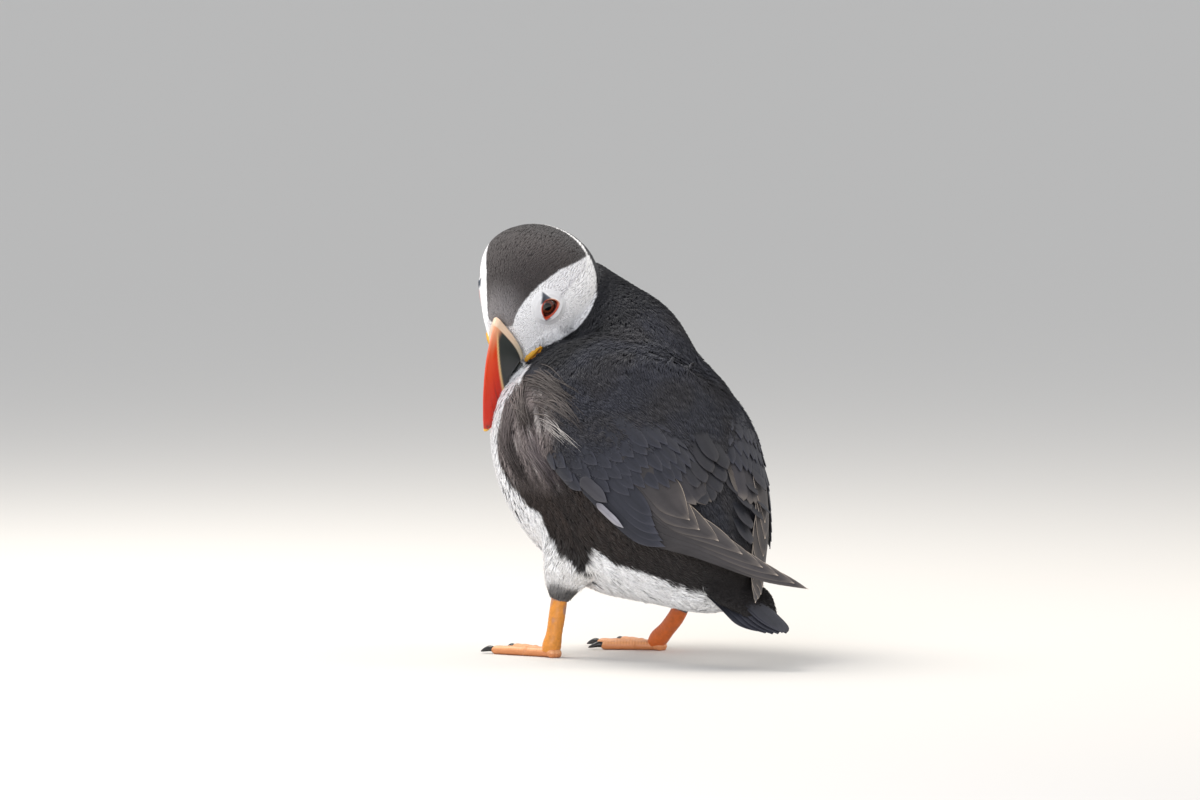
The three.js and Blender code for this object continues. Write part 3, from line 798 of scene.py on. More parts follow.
def headColour(p):
    h = headwards(p)
    x, y, z = h[:, 0], np.abs(h[:, 1]), h[:, 2]
    ragged = (noise(p, 1.1, 8) - 0.5) * 0.3
    fine = noise(p, 1.0, 9)
    cap = blend(tint["cap"], tint["capDark"], ease((-x - 30) / 16) * 0.8)
    cap = blend(cap, tint["capDark"], 0.3 * fine)
    cap = blend(cap, tint["forehead"], ease((x + 15) / 15) * ease((13 - y) / 9))
    upper = np.interp(x, capEdge[:, 0], capEdge[:, 1]) + ragged
    lower = np.interp(x, cheekEdge[:, 0], cheekEdge[:, 1]) + ragged
    # cheek: pearly, greyer above the crease behind the eye; painted shade in a thin line along the crease,
    # and a soft patch of painted shade below the eye and before it
    crease = np.interp(x, [-37, -32, -27, -22, -16], [-1.7, -0.6, -0.6, -2.0, -5.0])
    above = ease((z - crease + 0.5) / 1.2) * ease((-x - 16) / 6)
    fold = np.exp(-((z - crease) / 0.6) ** 2) * ease((-x - 17) / 4) * ease((x + 40) / 6)
    cheek = blend(tint["cheek"], tint["cheekGrey"], 0.45 * above)
    # thin line of painted shade along the fold in the cheek feathers
    cheek = blend(cheek, tint["cheekShade"], 0.5 * fold)
    # soft patch of painted shade below and before the eye
    cheek = blend(cheek, tint["shadeBelowEye"], 0.45 * np.exp(-(((x + 11.5) / 4.5) ** 2 + ((z + 9.5) / 4.5) ** 2)))
    cheek = blend(cheek, tint["cheekGrey"], 0.15 * ease((lower - z + 4) / 5))
    cheek = blend(cheek, tint["white"], 0.15 * fine)
    face = ease((upper - z) / 0.5 + 0.5) * ease((z - lower) / 0.6 + 0.5)
    outward, upBack = (np.stack([x, y, z], -1) @ np.array(cheekCut[k]) for k in ("outward", "upBack"))
    face = face * ease((upBack - np.interp(outward, *cheekCut["rim"].T) - ragged) / 0.5 + 0.5)
    rear = -43.5 - 0.95 * (z + 2)
    width = 4.2 * np.clip((9.5 - z) / 11, 0, 1) * ease((z + 5) / 3)
    band = ease((x - rear + width) / 0.6 + 0.5) * ease((rear - x) / 0.6 + 0.5) * (z < 9.5) * (z > -5)
    collar = blend(tint["collar"], tint["slate"], 0.35 * fine)
    top = blend(collar, cap, ease((z - upper) / 0.6 + 0.5) * ease((x - rear) / 1.2 + 0.5))
    top = blend(top, tint["cheek"], band)
    return blend(top, cheek, face)


def plumage(points, kind):
    shape = points.shape
    flat = points.reshape(-1, 3)
    kind = np.broadcast_to(np.asarray(kind), shape[:-1]).ravel()
    colour = bodyColour(flat)
    # feathers of the neck that lie against the head carry the head's markings on
    near = np.interp(headwards(flat)[:, 0], [-35, -30, -24, -18], [1.02, 1.07, 1.13, 1.18])
    onHead = isRegion(kind, "head") | ((headShare(flat) < near) & isRegion(kind, "trunk", "neck"))
    colour[onHead] = headColour(flat[onHead])
    onThigh = isRegion(kind, "leftThigh", "rightThigh")
    colour[onThigh] = cuffColour(flat[onThigh], colour[onThigh])
    return colour.reshape(shape)


# Materials. One helper adds a node with its settings and links.
def add(tree, kind, inputs=None, **settings):
    node = tree.nodes.new(kind)
    for key, value in settings.items():
        setattr(node, key, value)
    for key, value in (inputs or {}).items():
        if isinstance(value, bpy.types.NodeSocket):
            tree.links.new(value, node.inputs[key])
        else:
            node.inputs[key].default_value = value
    return node


def newTree(name):
    material = bpy.data.materials.new(name)
    material.use_nodes = True
    material.node_tree.nodes.clear()
    return material, material.node_tree


def finishMaterial(material, inputs):
    surface = add(material.node_tree, "ShaderNodeBsdfPrincipled", inputs)
    add(material.node_tree, "ShaderNodeOutputMaterial", {"Surface": surface.outputs["BSDF"]})
    return material


def plumeMaterial(name, roughness, sheen, barb, depth, contrast=0.15):
    # keratin vanes with their barbs: matt, soft at grazing angles, with hair-fine slanting lines;
    # real barbs stand 0.05 mm apart, so they are drawn about `barb` mm wide to show at all
    material, tree = newTree(name)
    colour = add(tree, "ShaderNodeAttribute", attribute_name="plume")
    place = add(tree, "ShaderNodeTexCoord")
    grain = add(tree, "ShaderNodeTexNoise", {
        "Vector": place.outputs["Object"], "Scale": 1000 / barb / 3, "Detail": 3.0, "Roughness": 0.6})
    value = add(tree, "ShaderNodeMapRange", {
        "Value": grain.outputs["Fac"], "From Min": 0.3, "From Max": 0.7,
        "To Min": 1 - contrast, "To Max": 1 + contrast})
    tinted = add(tree, "ShaderNodeVectorMath", {
        0: colour.outputs["Color"], 1: value.outputs["Result"]}, operation="MULTIPLY")
    bump = add(tree, "ShaderNodeBump", {
        "Height": grain.outputs["Fac"], "Strength": 0.5, "Distance": depth * 0.001})
    return finishMaterial(material, {
        "Base Color": tinted.outputs["Vector"], "Normal": bump.outputs["Normal"], "Roughness": roughness,
        "Sheen Weight": sheen, "Sheen Roughness": 0.5, "Specular IOR Level": 0.3})


# contour feathers: dense matt keratin barbs, a soft bloom where the light grazes them
contourPlumage = plumeMaterial("contour plumage, matt keratin barbs", 0.72, 0.08, 0.35, 0.05)
# face feathers: plush, short and close, so almost without gloss
velvetPlumage = plumeMaterial("face plumage, close velvety barbs", 0.85, 0.1, 0.25, 0.02, 0.04)
# skin: dull down that only fills the gaps between the feathers
underSkin = plumeMaterial("skin under the coat, downy", 0.95, 0.0, 0.5, 0.05)


def coatLength(p, kind):
    # length of a feather in mm at each place: tiny on the face, longer down the body
    y, z = p[:, 1], p[:, 2]
    length = 5.2 + 2.6 * ease((y + 20) / 60) + 1.2 * ease((70 - z) / 30)
    length = np.where(isRegion(kind, "neck"), 3.6 + 1.6 * ease((y + 45) / 30), length)
    # where the coat meets the head it is as short as the head's own
    length = length * (0.45 + 0.55 * ease((headShare(p) - 1.02) / 0.6))
    length = np.where(isRegion(kind, "head"), 1.5 + 1.5 * ease((-headwards(p)[:, 0] - 8) / 42), length)
    # close over the rump, where the tail comes out
    length = length * (1 - 0.65 * ease((y - 57) / 12))
    return np.where(isRegion(kind, "leftThigh", "rightThigh"), 2.6 + 3.0 * ease((z - 24) / 22), length)


rosetteSize = {"rear": (-5.8, 13.0, -20.3), "front": (0.2, 6.3, -26.2)}


def nearFaceParts(p):
    # places taken by eyes and rosettes, where no feather grows
    h = headwards(p)
    shift = (h[:, 1:2] < 0) * np.array(eyeSize["rightShift"])
    h[:, 1] = np.abs(h[:, 1])
    axis = unit(np.array(eyeSize["axis"]))
    toEye = h - np.array(eyeSize["skin"]) - shift * [1, -1, 1]
    off = np.linalg.norm(toEye - (toEye @ axis)[:, None] * axis, axis=1)
    near = (off < eyeSize["clear"]) & (toEye @ axis > -6)
    rear, front = (np.array(rosetteSize[k]) for k in ("rear", "front"))
    return near | (offLine(h, rear, front) < 1.8) | (h[:, 0] > -0.3)


def coatPiece(name, size, wanted, material):
    # a coat of tufts: every root carries a fan of thin blades laid along the coat, low at the
    # root and standing off at the tip so that they overlap like shingles
    roots, kind, chart, chance = scatterRoots(
        wanted, lambda p, k: coatLength(p, k) * size["spacing"], size["seed"])
    fan, stations = size["fan"], size["stations"]
    count = len(roots)
    tuft = np.repeat(np.arange(count), fan)
    spread = np.tile(np.linspace(-1, 1, fan) if fan > 1 else np.zeros(1), count)
    turn = np.repeat(chance.normal(0, size["turn"], count), fan)
    turn = turn + spread * size["spread"] + chance.normal(0, size["stray"], count * fan)
    length = coatLength(roots, kind)[tuft] * np.repeat(chance.uniform(0.85, 1.15, count), fan)
    length = length * (1 - 0.15 * np.abs(spread)) * chance.uniform(0.85, 1.1, count * fan)
    start = roots[tuft]
    shaft, normal = layShafts(start, length, turn, stations)
    s = np.linspace(0, 1, stations)
    half = np.interp(s, *size["outline"]) * length[:, None] * size["width"] / 2
    height = np.repeat(chance.uniform(0.75, 1.15, count), fan)[:, None]
    height = height * np.minimum(length / size["full"], 1)[:, None]
    lift = size["sink"] + (size["stand"] - size["sink"]) * s**size["bend"] * height
    lift = lift + 0.1 * size["thick"] * np.tile(np.arange(fan), count)[:, None]
    thick = size["thick"] * (1 - 0.5 * s) + 0 * half
    points, faces = bladeSolids(shaft, normal, half, lift, thick)
    shaped = points.reshape(len(start), stations, 3, 3)
    sampled = start[:, None, None] + size["streak"] * (shaped - start[:, None, None])
    colour = plumage(sampled, kind[tuft][:, None, None])
    shade = np.repeat(chance.normal(1, size["shade"], count), fan)
    shade = shade * chance.normal(1, size["shade"] / 2, count * fan)
    tip = 1 + size["tipLight"] * ease((s - 0.55) / 0.45)
    root = 1 - size["rootDark"] * (1 - ease(s / 0.5))
    colour = colour * shade[:, None, None, None] * (tip * root)[None, :, None, None]
    addPiece(name, points, faces, material, "plumage", colour.reshape(-1, 3),
             {"OFBake": rootMap(chart[tuft], kind[tuft], s)})
    print(f"{name}: {count} tufts, {sum((f.shape[1] - 2) * len(f) for f in faces)} triangles")


# Share of a blade's full width at shares of its length
leafOutline = ([0, 0.25, 0.6, 0.85, 1], [0.35, 0.9, 1.0, 0.7, 0.15])
sliverOutline = ([0, 0.3, 0.7, 1], [0.6, 1.0, 0.8, 0.1])

# Each coat: roots stand `spacing` of a feather's length apart and carry a fan of blades that `stand`
# mm off the skin at their tips; angles are radians, widths shares of the length
headCoat = {"spacing": 0.36, "fan": 1, "stations": 3, "turn": 0.06, "spread": 0, "stray": 0.0, "width": 0.46,
            "outline": leafOutline, "sink": 0.05, "stand": 0.27, "full": 1.2, "bend": 1.0, "thick": 0.12,
            "streak": 1.0, "shade": 0.02, "tipLight": 0.03, "rootDark": 0.05, "seed": 11}
neckCoat = dict(headCoat, spacing=0.335, fan=3, spread=0.22, stray=0.06, width=0.22, outline=sliverOutline,
                sink=0.1, stand=1.0, thick=0.16, turn=0.1, shade=0.05, seed=12, full=3.6)
backCoat = dict(neckCoat, spacing=0.27, fan=4, spread=0.3, width=0.2, stand=1.5, thick=0.2,
                turn=0.09, stray=0.04, shade=0.06, tipLight=0.08, rootDark=0.2, full=4.6)
wingCoat = dict(backCoat, stand=1.8, seed=14, width=0.24)
breastCoat = dict(backCoat, spacing=0.345, stray=0.1, width=0.22, stand=1.2, turn=0.16,
                  shade=0.03, tipLight=0.0, rootDark=0.04, streak=0.8)
flankCoat = dict(breastCoat, spacing=0.25, fan=5, width=0.15, stand=1.6, rootDark=0.1, shade=0.1,
                 tipLight=0.08)
legCoat = dict(breastCoat, seed=17, spacing=0.36, stand=1.3, thick=0.15)


def upperSide(p):
    # back and rump, behind the front edge of the folded wing
    front = np.interp(p[:, 1], wingFront[:, 0], wingFront[:, 1])
    return (p[:, 2] > front - 3) | ((p[:, 1] > 60) & (p[:, 2] > 38 - 0.4 * (p[:, 1] - 60)))


def onWingFront(p):
    # the shoulder part of the folded wing, which small soft coverts clothe
    return p[:, 2] > 60 + 0.75 * p[:, 1] + 0.2 * np.maximum(30 - p[:, 1], 0)


def onBreast(p):
    return ~upperSide(p) & ((p[:, 1] < -18) | (np.abs(p[:, 0]) < 14))


def onFlank(p, side):
    return ~upperSide(p) & (p[:, 1] >= -18) & (p[:, 0] * side >= 14)


skinColour = plumage(skinPoints, skinKind) * 0.95
addPiece("skin", skinPoints, [skinTriangles], underSkin, "plumage", skinColour, replaces=(
    "head", "neck", "trunk", "thigh_left", "thigh_right"))
for side, name in ((1, "left"), (-1, "right")):
    coatPiece(name + "HeadFeathers", dict(headCoat, seed=11 + side), lambda p, k: (
        isRegion(k, "head") & ~nearFaceParts(p) & (headwards(p)[:, 1] * side > 0)), velvetPlumage)
    coatPiece(name + "BackFeathers", dict(backCoat, seed=20 + side), lambda p, k: (
        isRegion(k, "trunk", "tail") & upperSide(p) & (p[:, 0] * side > 0)), contourPlumage)
    coatPiece(name + "BreastFeathers", dict(breastCoat, seed=24 + side), lambda p, k: (
        isRegion(k, "trunk", "tail") & onBreast(p) & (p[:, 0] * side > 0)), contourPlumage)
    coatPiece(name + "FlankFeathers", dict(flankCoat, seed=28 + side), lambda p, k: (
        isRegion(k, "trunk", "tail") & onFlank(p, side)), contourPlumage)
coatPiece("collarFeathers", neckCoat, lambda p, k: isRegion(k, "neck"), contourPlumage)
coatPiece("wingFeathers", wingCoat, lambda p, k: (
    isRegion(k, "leftWing", "rightWing") & onWingFront(p)), contourPlumage)
coatPiece("thighFeathers", legCoat, lambda p, k: isRegion(k, "leftThigh", "rightThigh"), contourPlumage)

# Long loose plumes, blown out of place, that sweep from the left side of neck and breast over the
# wing: each lock runs from a root place to a tip place, with its colours at both ends
plumeSize = {
    "locks": [
        {"root": (37, -24, 113), "tip": (41, 13, 107.5), "from": "#4c4441", "to": "#4a4340", "count": 80},
        {"root": (41, -10, 109), "tip": (43.5, 21, 98), "from": "#6a605a", "to": "#453f3e", "count": 64},
        {"root": (45, -9, 100.5), "tip": (46.9, 24, 88.6), "from": "#837b78", "to": "#c2bcb7", "count": 18,
         "spread": 0.5, "half": 0.17},
        {"root": (46.4, -11, 93), "tip": (45, 9, 73), "from": "#857a79", "to": "#4b4345", "count": 80},
        {"root": (41.5, -30, 94), "tip": (44.6, -12, 73), "from": "#4a4240", "to": "#3a3331", "count": 54},
        {"root": (38.5, -27, 106), "tip": (43.8, -23, 83), "from": "#857b78", "to": "#5b5250", "count": 60},
        {"root": (37.5, -27, 110), "tip": (44.5, -8, 95), "from": "#7d7370", "to": "#524a46", "count": 70},
    ],
    "rootSpread": 4.2, "tipSpread": 2.0, "half": 0.25, "thick": 0.16, "rise": 2.1, "root": 0.3,
    "bow": 2.4, "stations": 11,
}


def buildPlumes(size):
    # blades along straight runs between root and tip, bowed sideways, dropped on the skin and
    # standing off it: lift = root + rise * sin(2.2 * share of the length)
    chance = np.random.default_rng(61)
    s = np.linspace(0, 1, size["stations"])
    roots, runs, first, last, wide = [], [], [], [], []
    for lock in size["locks"]:
        count, spread = lock["count"], lock.get("spread", 1.0)
        root = np.array(lock["root"]) + chance.normal(0, size["rootSpread"] * spread, (count, 3))
        tip = np.array(lock["tip"]) + chance.normal(0, size["tipSpread"] * spread, (count, 3))
        tip = tip + (tip - root) * chance.uniform(-0.25, 0.08, (count, 1))
        wide.append(np.full(count, lock.get("half", size["half"])))
        roots.append(root)
        runs.append(tip - root)
        shade = chance.normal(1, 0.08, (count, 1))
        first.append(linear(lock["from"]) * shade)
        last.append(linear(lock["to"]) * shade)
    root, run, first, last = (np.vstack(group) for group in (roots, runs, first, last))
    wide = np.concatenate(wide)[:, None]
    bow = size["bow"] * np.sin(np.pi * s) * chance.normal(1, 0.3, (len(root), 1))
    line = root[:, None] + run[:, None] * s[:, None]
    line[..., 2] += bow
    place, normal, _, face = dropOnSkin(line)
    lift = size["root"] + size["rise"] * np.sin(2.2 * s) * chance.uniform(0.3, 1.1, (len(root), 1))
    half = wide * np.interp(s, *sliverOutline) * chance.uniform(0.7, 1.3, (len(root), 1))
    points, faces = bladeSolids(place, normal, half, lift, size["thick"] * (1 - 0.5 * s) + 0 * half)
    colour = blend(first[:, None], last[:, None], ease(s) + 0 * half)
    colour = np.repeat(colour[:, :, None], 3, 2)
    corner = skinTriangles[face.reshape(len(root), -1)[:, 0], 0]
    addPiece("sidePlumes", points, faces, contourPlumage, "plumage", colour.reshape(-1, 3),
             {"OFBake": rootMap(skinChart[corner], skinKind[corner], s)})
    print(f"sidePlumes: {len(root)} plumes")


buildPlumes(plumeSize)

# Flight feathers and coverts: vanes with a raised shaft, laid in (u, v) on the folded wing
vaneAcross = np.array([-1, -0.94, -0.62, -0.3, -0.06, 0.06, 0.3, 0.62, 0.95, 1.0])
vaneColours = {
    "primary": "#454141", "primaryDark": "#2c2a2b", "primaryEdge": "#d3c3b2",
    "secondary": "#38363a", "secondaryDark": "#28272b", "secondaryEdge": "#7c746d",
    "covert": "#2c2d35", "covertDark": "#212228", "covertEdge": "#4c4c55",
    "shoulder": "#2b2b31", "shoulderDark": "#1f2025", "shoulderEdge": "#4b4849",
    "tail": "#2e2f37", "tailDark": "#212227", "tailEdge": "#3d3d46",
    "pale": "#4a494e", "paleDark": "#353439", "paleEdge": "#5f5d63",
    "white": "#96949a", "whiteDark": "#6c6a70", "whiteEdge": "#aeacb1",
}


def vaneOutline(s, point, blunt):
    # share of the full width along the feather: quickly full from the quill, tapering from
    # the share `point` of its length to a tip that is rounder as blunt grows
    start = np.sqrt(np.clip(s / 0.12, 0.06, 1))
    end = np.clip((1 - s) / (1 - point), 0, 1)
    return start * np.maximum(np.where(s > point, 1 - (1 - end) ** blunt, 1.0), 0.03)


def vaneStations(count):
    # places along a vane, closer together towards its rounded tip
    return 1 - (1 - np.linspace(0, 1, count)) ** 1.5


def vaneSolids(surface, stations, size, count, wide):
    # surface(s, offset, height) gives points for stations s, offsets in mm across and heights;
    # each ring has the upper points across the vane and one keel point under the shaft
    s = vaneStations(stations)
    shape = vaneOutline(s, size["point"], size["blunt"])
    leadShape = vaneOutline(s, min(size["point"] + 0.12, 0.97), size["blunt"])
    k = vaneAcross
    offset = np.where(k < 0, k * wide[0][:, None, None] * leadShape[:, None],
                      k * wide[1][:, None, None] * shape[:, None])
    lift = size["root"] + (size["tip"] - size["root"]) * s**size["bend"]
    height = lift[:, None] + size["thick"] * (1 - np.abs(k)) ** 0.5 + size["camber"] * (1 - k * k)
    height = np.broadcast_to(height, offset.shape) + size["stack"][:, None, None]
    keel = lift[None] - 0.6 * size["thick"] + size["stack"][:, None]
    top = surface(s[None, :, None], offset, height)
    low = surface(s[None, :, None], 0 * offset[..., :1], keel[..., None])
    ring = np.concatenate([top, low], 2)
    vane = np.stack(np.broadcast_arrays((k + 1) / 2, s[:, None]), -1)
    vane = np.concatenate([vane, np.stack([0 * s + 0.5, s], -1)[:, None]], 1)
    return ring, np.broadcast_to(vane, (count, *vane.shape)), ringFaces(count, stations, len(k) + 1)


def vaneColour(ring, vane, kind, chance, edgeFrom, edgeStrength=1.0, vary=0.08):
    # darker towards the root and along the shaft, faint bars of wear, a pale line on the edge
    base, dark, edge = (linear(vaneColours[kind + part]) for part in ("", "Dark", "Edge"))
    k, s = vane[..., 0] * 2 - 1, vane[..., 1]
    wear = noise(ring, 2.4, 21) * 0.6 + noise(ring, 9, 22) * 0.4
    colour = blend(dark, base, np.clip(0.25 + 0.75 * s + 0.9 * (wear - 0.5), 0, 1))
    colour = blend(colour, dark, 0.6 * np.exp(-(k / 0.1) ** 2))
    onEdge = ease((k - 0.955) / 0.04) * ease((s - edgeFrom) / 0.15) * edgeStrength
    tip = ease((s - 0.975) / 0.02) * edgeStrength * 0.7
    rim = ease((np.abs(k) - 0.6) / 0.35) * ease((s - 0.55) / 0.35) + ease((s - 0.9) / 0.07)
    colour = blend(colour, edge, np.clip(rim, 0, 1) * (0.45 if edgeStrength < 0.9 else 0.1))
    colour = blend(colour, edge, np.clip(np.maximum(onEdge, tip), 0, 1))
    return colour * chance.normal(1, vary, len(ring))[:, None, None, None]


def wingVanes(wing, size, root, bend, tip, wide, stations):
    # the shaft is a quadratic curve in (u, v) from root to tip, pulled towards bend; offsets go
    # across the wing, towards the inner edge when positive
    root, bend, tip = (np.asarray(a, float)[:, None, None] for a in (root, bend, tip))

    def surface(s, offset, height):
        t = s[..., None]
        place = root * (1 - t) ** 2 + bend * 2 * t * (1 - t) + tip * t * t
        u, v = place[..., 0], place[..., 1]
        row = smoothRows(wing["rows"], u)
        chord = np.linalg.norm(row[..., 3:6] - row[..., :3], axis=-1)
        return wingPoint(wing, u, v + offset / np.maximum(chord, 1), height)[0]

    return vaneSolids(surface, stations, size, len(root), wide)


def vaneMaterial(name, barb):
    # flight feather: smooth closed vane with a dull silky gloss; barbs 0.05 mm apart are drawn
    # `barb` mm wide so that they show, slanting from the shaft to both edges
    material, tree = newTree(name)
    colour = add(tree, "ShaderNodeAttribute", attribute_name="plume")
    vane = add(tree, "ShaderNodeUVMap", uv_map="vane")
    parts = add(tree, "ShaderNodeSeparateXYZ", {"Vector": vane.outputs["UV"]})
    side = add(tree, "ShaderNodeMath", {0: parts.outputs["X"], 1: 0.0}, operation="ABSOLUTE")
    slant = add(tree, "ShaderNodeMath", {0: parts.outputs["Y"], 1: side.outputs["Value"]},
                operation="SUBTRACT")
    ripple = add(tree, "ShaderNodeMath", {0: slant.outputs["Value"], 1: 2 * math.pi / barb},
                 operation="MULTIPLY")
    wave = add(tree, "ShaderNodeMath", {0: ripple.outputs["Value"]}, operation="SINE")
    value = add(tree, "ShaderNodeMapRange", {
        "Value": wave.outputs["Value"], "From Min": -1.0, "From Max": 1.0, "To Min": 0.9, "To Max": 1.08})
    tinted = add(tree, "ShaderNodeVectorMath", {0: colour.outputs["Color"], 1: value.outputs["Result"]},
                 operation="MULTIPLY")
    bump = add(tree, "ShaderNodeBump", {
        "Height": wave.outputs["Value"], "Strength": 0.25, "Distance": 0.00003})
    return finishMaterial(material, {
        "Base Color": tinted.outputs["Vector"], "Normal": bump.outputs["Normal"], "Roughness": 0.68,
        "Sheen Weight": 0.05, "Specular IOR Level": 0.28})


flightVane = vaneMaterial("flight feather, closed silky vane", 0.3)


class VaneStack(ShellStack):
    # gathers the vanes of one piece; each feather has its own strip of the bake map
    def __init__(self, seed):
        super().__init__()
        self.chance, self.vanes = np.random.default_rng(seed), []

    def put(self, solids, kind, lengthMm, widthMm, *look):
        ring, vane, faces = solids
        colour = vaneColour(ring, vane, kind, self.chance, *look)
        super().put(ring.reshape(-1, 3), faces, colour.reshape(-1, 3))
        self.vanes.append((vane.reshape(len(vane), -1, 2), np.broadcast_to(widthMm, len(ring)), lengthMm))

    def finish(self, name, replaces=()):
        total = sum(len(vane) for vane, _, _ in self.vanes)
        barbs, bake, index = [], [], 0
        for vane, width, length in self.vanes:
            # barbs read the vane map in millimetres
            barbs.append(np.stack([(vane[..., 0] - 0.5) * width[:, None], vane[..., 1] * length], -1))
            strip = (index + np.arange(len(vane)))[:, None] + 0.1 + 0.8 * vane[..., 0]
            bake.append(np.stack([strip / total, 0.01 + 0.98 * vane[..., 1]], -1))
            index += len(vane)
        maps = {"vane": np.vstack([part.reshape(-1, 2) for part in barbs]),
                "OFBake": np.vstack([part.reshape(-1, 2) for part in bake])}
        points, faces = self.joined()
        addPiece(name, points, faces, flightVane, "plumage", np.vstack(self.colours), maps, replaces)
        print(f"{name}: {total} feathers")


# Tips of the feathers on the folded wing, as (u, v), and how each row is built
wingSize = {
    # outer to inner: the longest primary makes the lower edge and the wing tip
    "primaryTips": [(0.995, 0.4), (0.95, 0.42), (0.895, 0.45), (0.845, 0.46), (0.78, 0.5), (0.71, 0.48),
                    (0.645, 0.5), (0.60, 0.55)],
    "primaryBend": [(0.78, 0.02), (0.74, 0.12), (0.68, 0.22), (0.62, 0.32), (0.58, 0.42), (0.54, 0.45),
                    (0.5, 0.47), (0.47, 0.5)],
    "primaryRoots": [(0.36, 0.12), (0.36, 0.16), (0.36, 0.2), (0.36, 0.25), (0.36, 0.3), (0.36, 0.36),
                     (0.36, 0.42), (0.36, 0.5)],
    "primaryWide": [(2.4, 6.5), (2.8, 7.5), (3.2, 8.5), (3.6, 9.5), (4, 10), (4.5, 10), (5, 9.5), (5, 9)],
    "primaryStep": 0.24,
    "handTips": [(0.635, 0.06), (0.615, 0.13), (0.59, 0.19), (0.565, 0.25), (0.54, 0.31)],
    "secondaryTips": [(0.505, 0.36), (0.512, 0.43), (0.525, 0.5), (0.54, 0.58), (0.554, 0.67), (0.566, 0.76),
                      (0.576, 0.86), (0.572, 0.96)],
    # edge of the coverts: v and the u that their lowest row reaches
    "covertLine": [(0.0, 0.36), (0.13, 0.41), (0.22, 0.445), (0.34, 0.475), (0.45, 0.492), (0.6, 0.5),
                   (0.8, 0.5), (1.0, 0.48), (1.2, 0.46)],
    "covertRows": 3, "covertStep": 0.046, "covertGap": 0.078,
}
vaneBase = {"point": 0.55, "blunt": 2.4, "root": 0.1, "tip": 0.6, "bend": 1.0, "thick": 0.22, "camber": 0.1}


def vaneSize(stack, **changes):
    return dict(vaneBase, stack=np.asarray(stack, float), **changes)


def buildWing(wing, size, seed):
    stack = VaneStack(seed)

    def putRow(kind, roots, bends, tips, wide, stations, length, look, shape):
        wide = np.broadcast_to(np.array(wide, float).reshape(2, -1), (2, len(tips)))
        solids = wingVanes(wing, vaneSize(**shape), roots, bends, tips, wide, stations)
        stack.put(solids, kind, length, shape.get("barbsWide", wide.sum(0)), *look)

    # primaries, the inner ones lying over the outer
    tips = np.array(size["primaryTips"])
    wide = np.array(size["primaryWide"]).T
    putRow("primary", size["primaryRoots"], size["primaryBend"], tips, wide, 30, 90, (0.45,),
           {"stack": size["primaryStep"] * np.arange(len(tips)) - 1.9, "point": 0.6, "blunt": 1.5,
            "tip": 0.3, "root": -0.3})
    # coverts of the hand, dark and narrow along the lower edge
    tips = np.array(size["handTips"])
    roots = tips * [0, 0.75] + [0.34, 0.07]
    putRow("covert", roots, (roots + tips) / 2 + [0, -0.05], tips, (2.6, 4.4), 18, 35, (0.8, 0.7),
           {"stack": -0.9 + 0.15 * np.arange(len(tips)), "point": 0.6, "blunt": 2.2, "root": -0.6})
    # secondaries with pale worn edges
    tips = np.array(size["secondaryTips"])
    roots = tips * [0, 0.8] + [0.3, 0.1]
    putRow("secondary", roots, (roots + tips) / 2, tips, (4.2, 4.6), 18, 35, (0.5, 0.6),
           {"stack": -1.3 + 0.09 * np.arange(len(tips)), "point": 0.72, "blunt": 2.6,
            "tip": 0.7, "root": -0.9})
    # coverts row over row, each row lying on the next lower one, smaller towards the shoulder
    lineV, lineU = np.array(size["covertLine"]).T
    chance, gap = stack.chance, size["covertGap"]
    for row in range(size["covertRows"]):
        v = np.arange(0.06 + 0.5 * gap * (row % 2), 1.12, gap)
        v = v + chance.normal(0, 0.012, len(v))
        u = np.interp(v, lineV, lineU) - row * size["covertStep"] + chance.normal(0, 0.006, len(v))
        u, v = u[u > 0.05], v[u > 0.05]
        tips = np.stack([u, v], -1)
        roots = np.stack([u - 0.15 + 0.009 * row, v + 0.02 * chance.normal(0, 1, len(v))], -1)
        half = (2.9 - 0.1 * row) * chance.uniform(0.92, 1.1, len(v))
        putRow("covert", roots, (roots + tips) / 2, tips, (half, half), 12, 18, (0.6, 0.2, 0.04),
               {"stack": chance.uniform(0, 0.15, len(v)), "point": 0.6, "blunt": 2.1, "root": -2.0,
                "tip": 0.45 - 0.1 * row})
    # two small pale feathers at the bend of the wing
    putRow("pale", [(0.36, 0.14)], [(0.4, 0.125)], [(0.452, 0.12)], (2.5, 2.5), 20, 12, (0.9, 0.3),
           {"stack": [0.3], "point": 0.6, "blunt": 1.8, "barbsWide": 6})
    putRow("white", [(0.435, 0.055)], [(0.475, 0.045)], [(0.522, 0.045)], (1.35, 1.35), 20, 12, (0.9, 0.3),
           {"stack": [0.1], "point": 0.6, "blunt": 1.6, "barbsWide": 4})
    stack.finish(wing["name"] + "WingFeathers", replaces=(f"wing_{wing['name']}",))


buildWing(leftWing, wingSize, 31)
buildWing(rightWing, wingSize, 32)


def flatSurface(line, side, normal):
    # surface(s, offset, height) of vanes whose shafts follow the given lines
    def surface(_, offset, height):
        across = side[:, :, None] * offset[..., None]
        return line[:, :, None] + across + normal[:, :, None] * height[..., None]

    return surface


def laidVanes(root, tip, size, wide, stations):
    # vanes laid over the body: a straight run from root to tip dropped onto the skin, then
    # standing off it
    s = vaneStations(stations)
    line = root[:, None] + (tip - root)[:, None] * s[:, None]
    place, normal, _, _ = dropOnSkin(line)
    free = np.maximum(((line - place) * normal).sum(-1, keepdims=True), 0) * (s**2)[:, None]
    over = place + normal * free
    along = unit(np.gradient(over, axis=1))
    side = unit(np.cross(along, normal))
    return vaneSolids(flatSurface(over, side, normal), stations, size, len(root), wide)


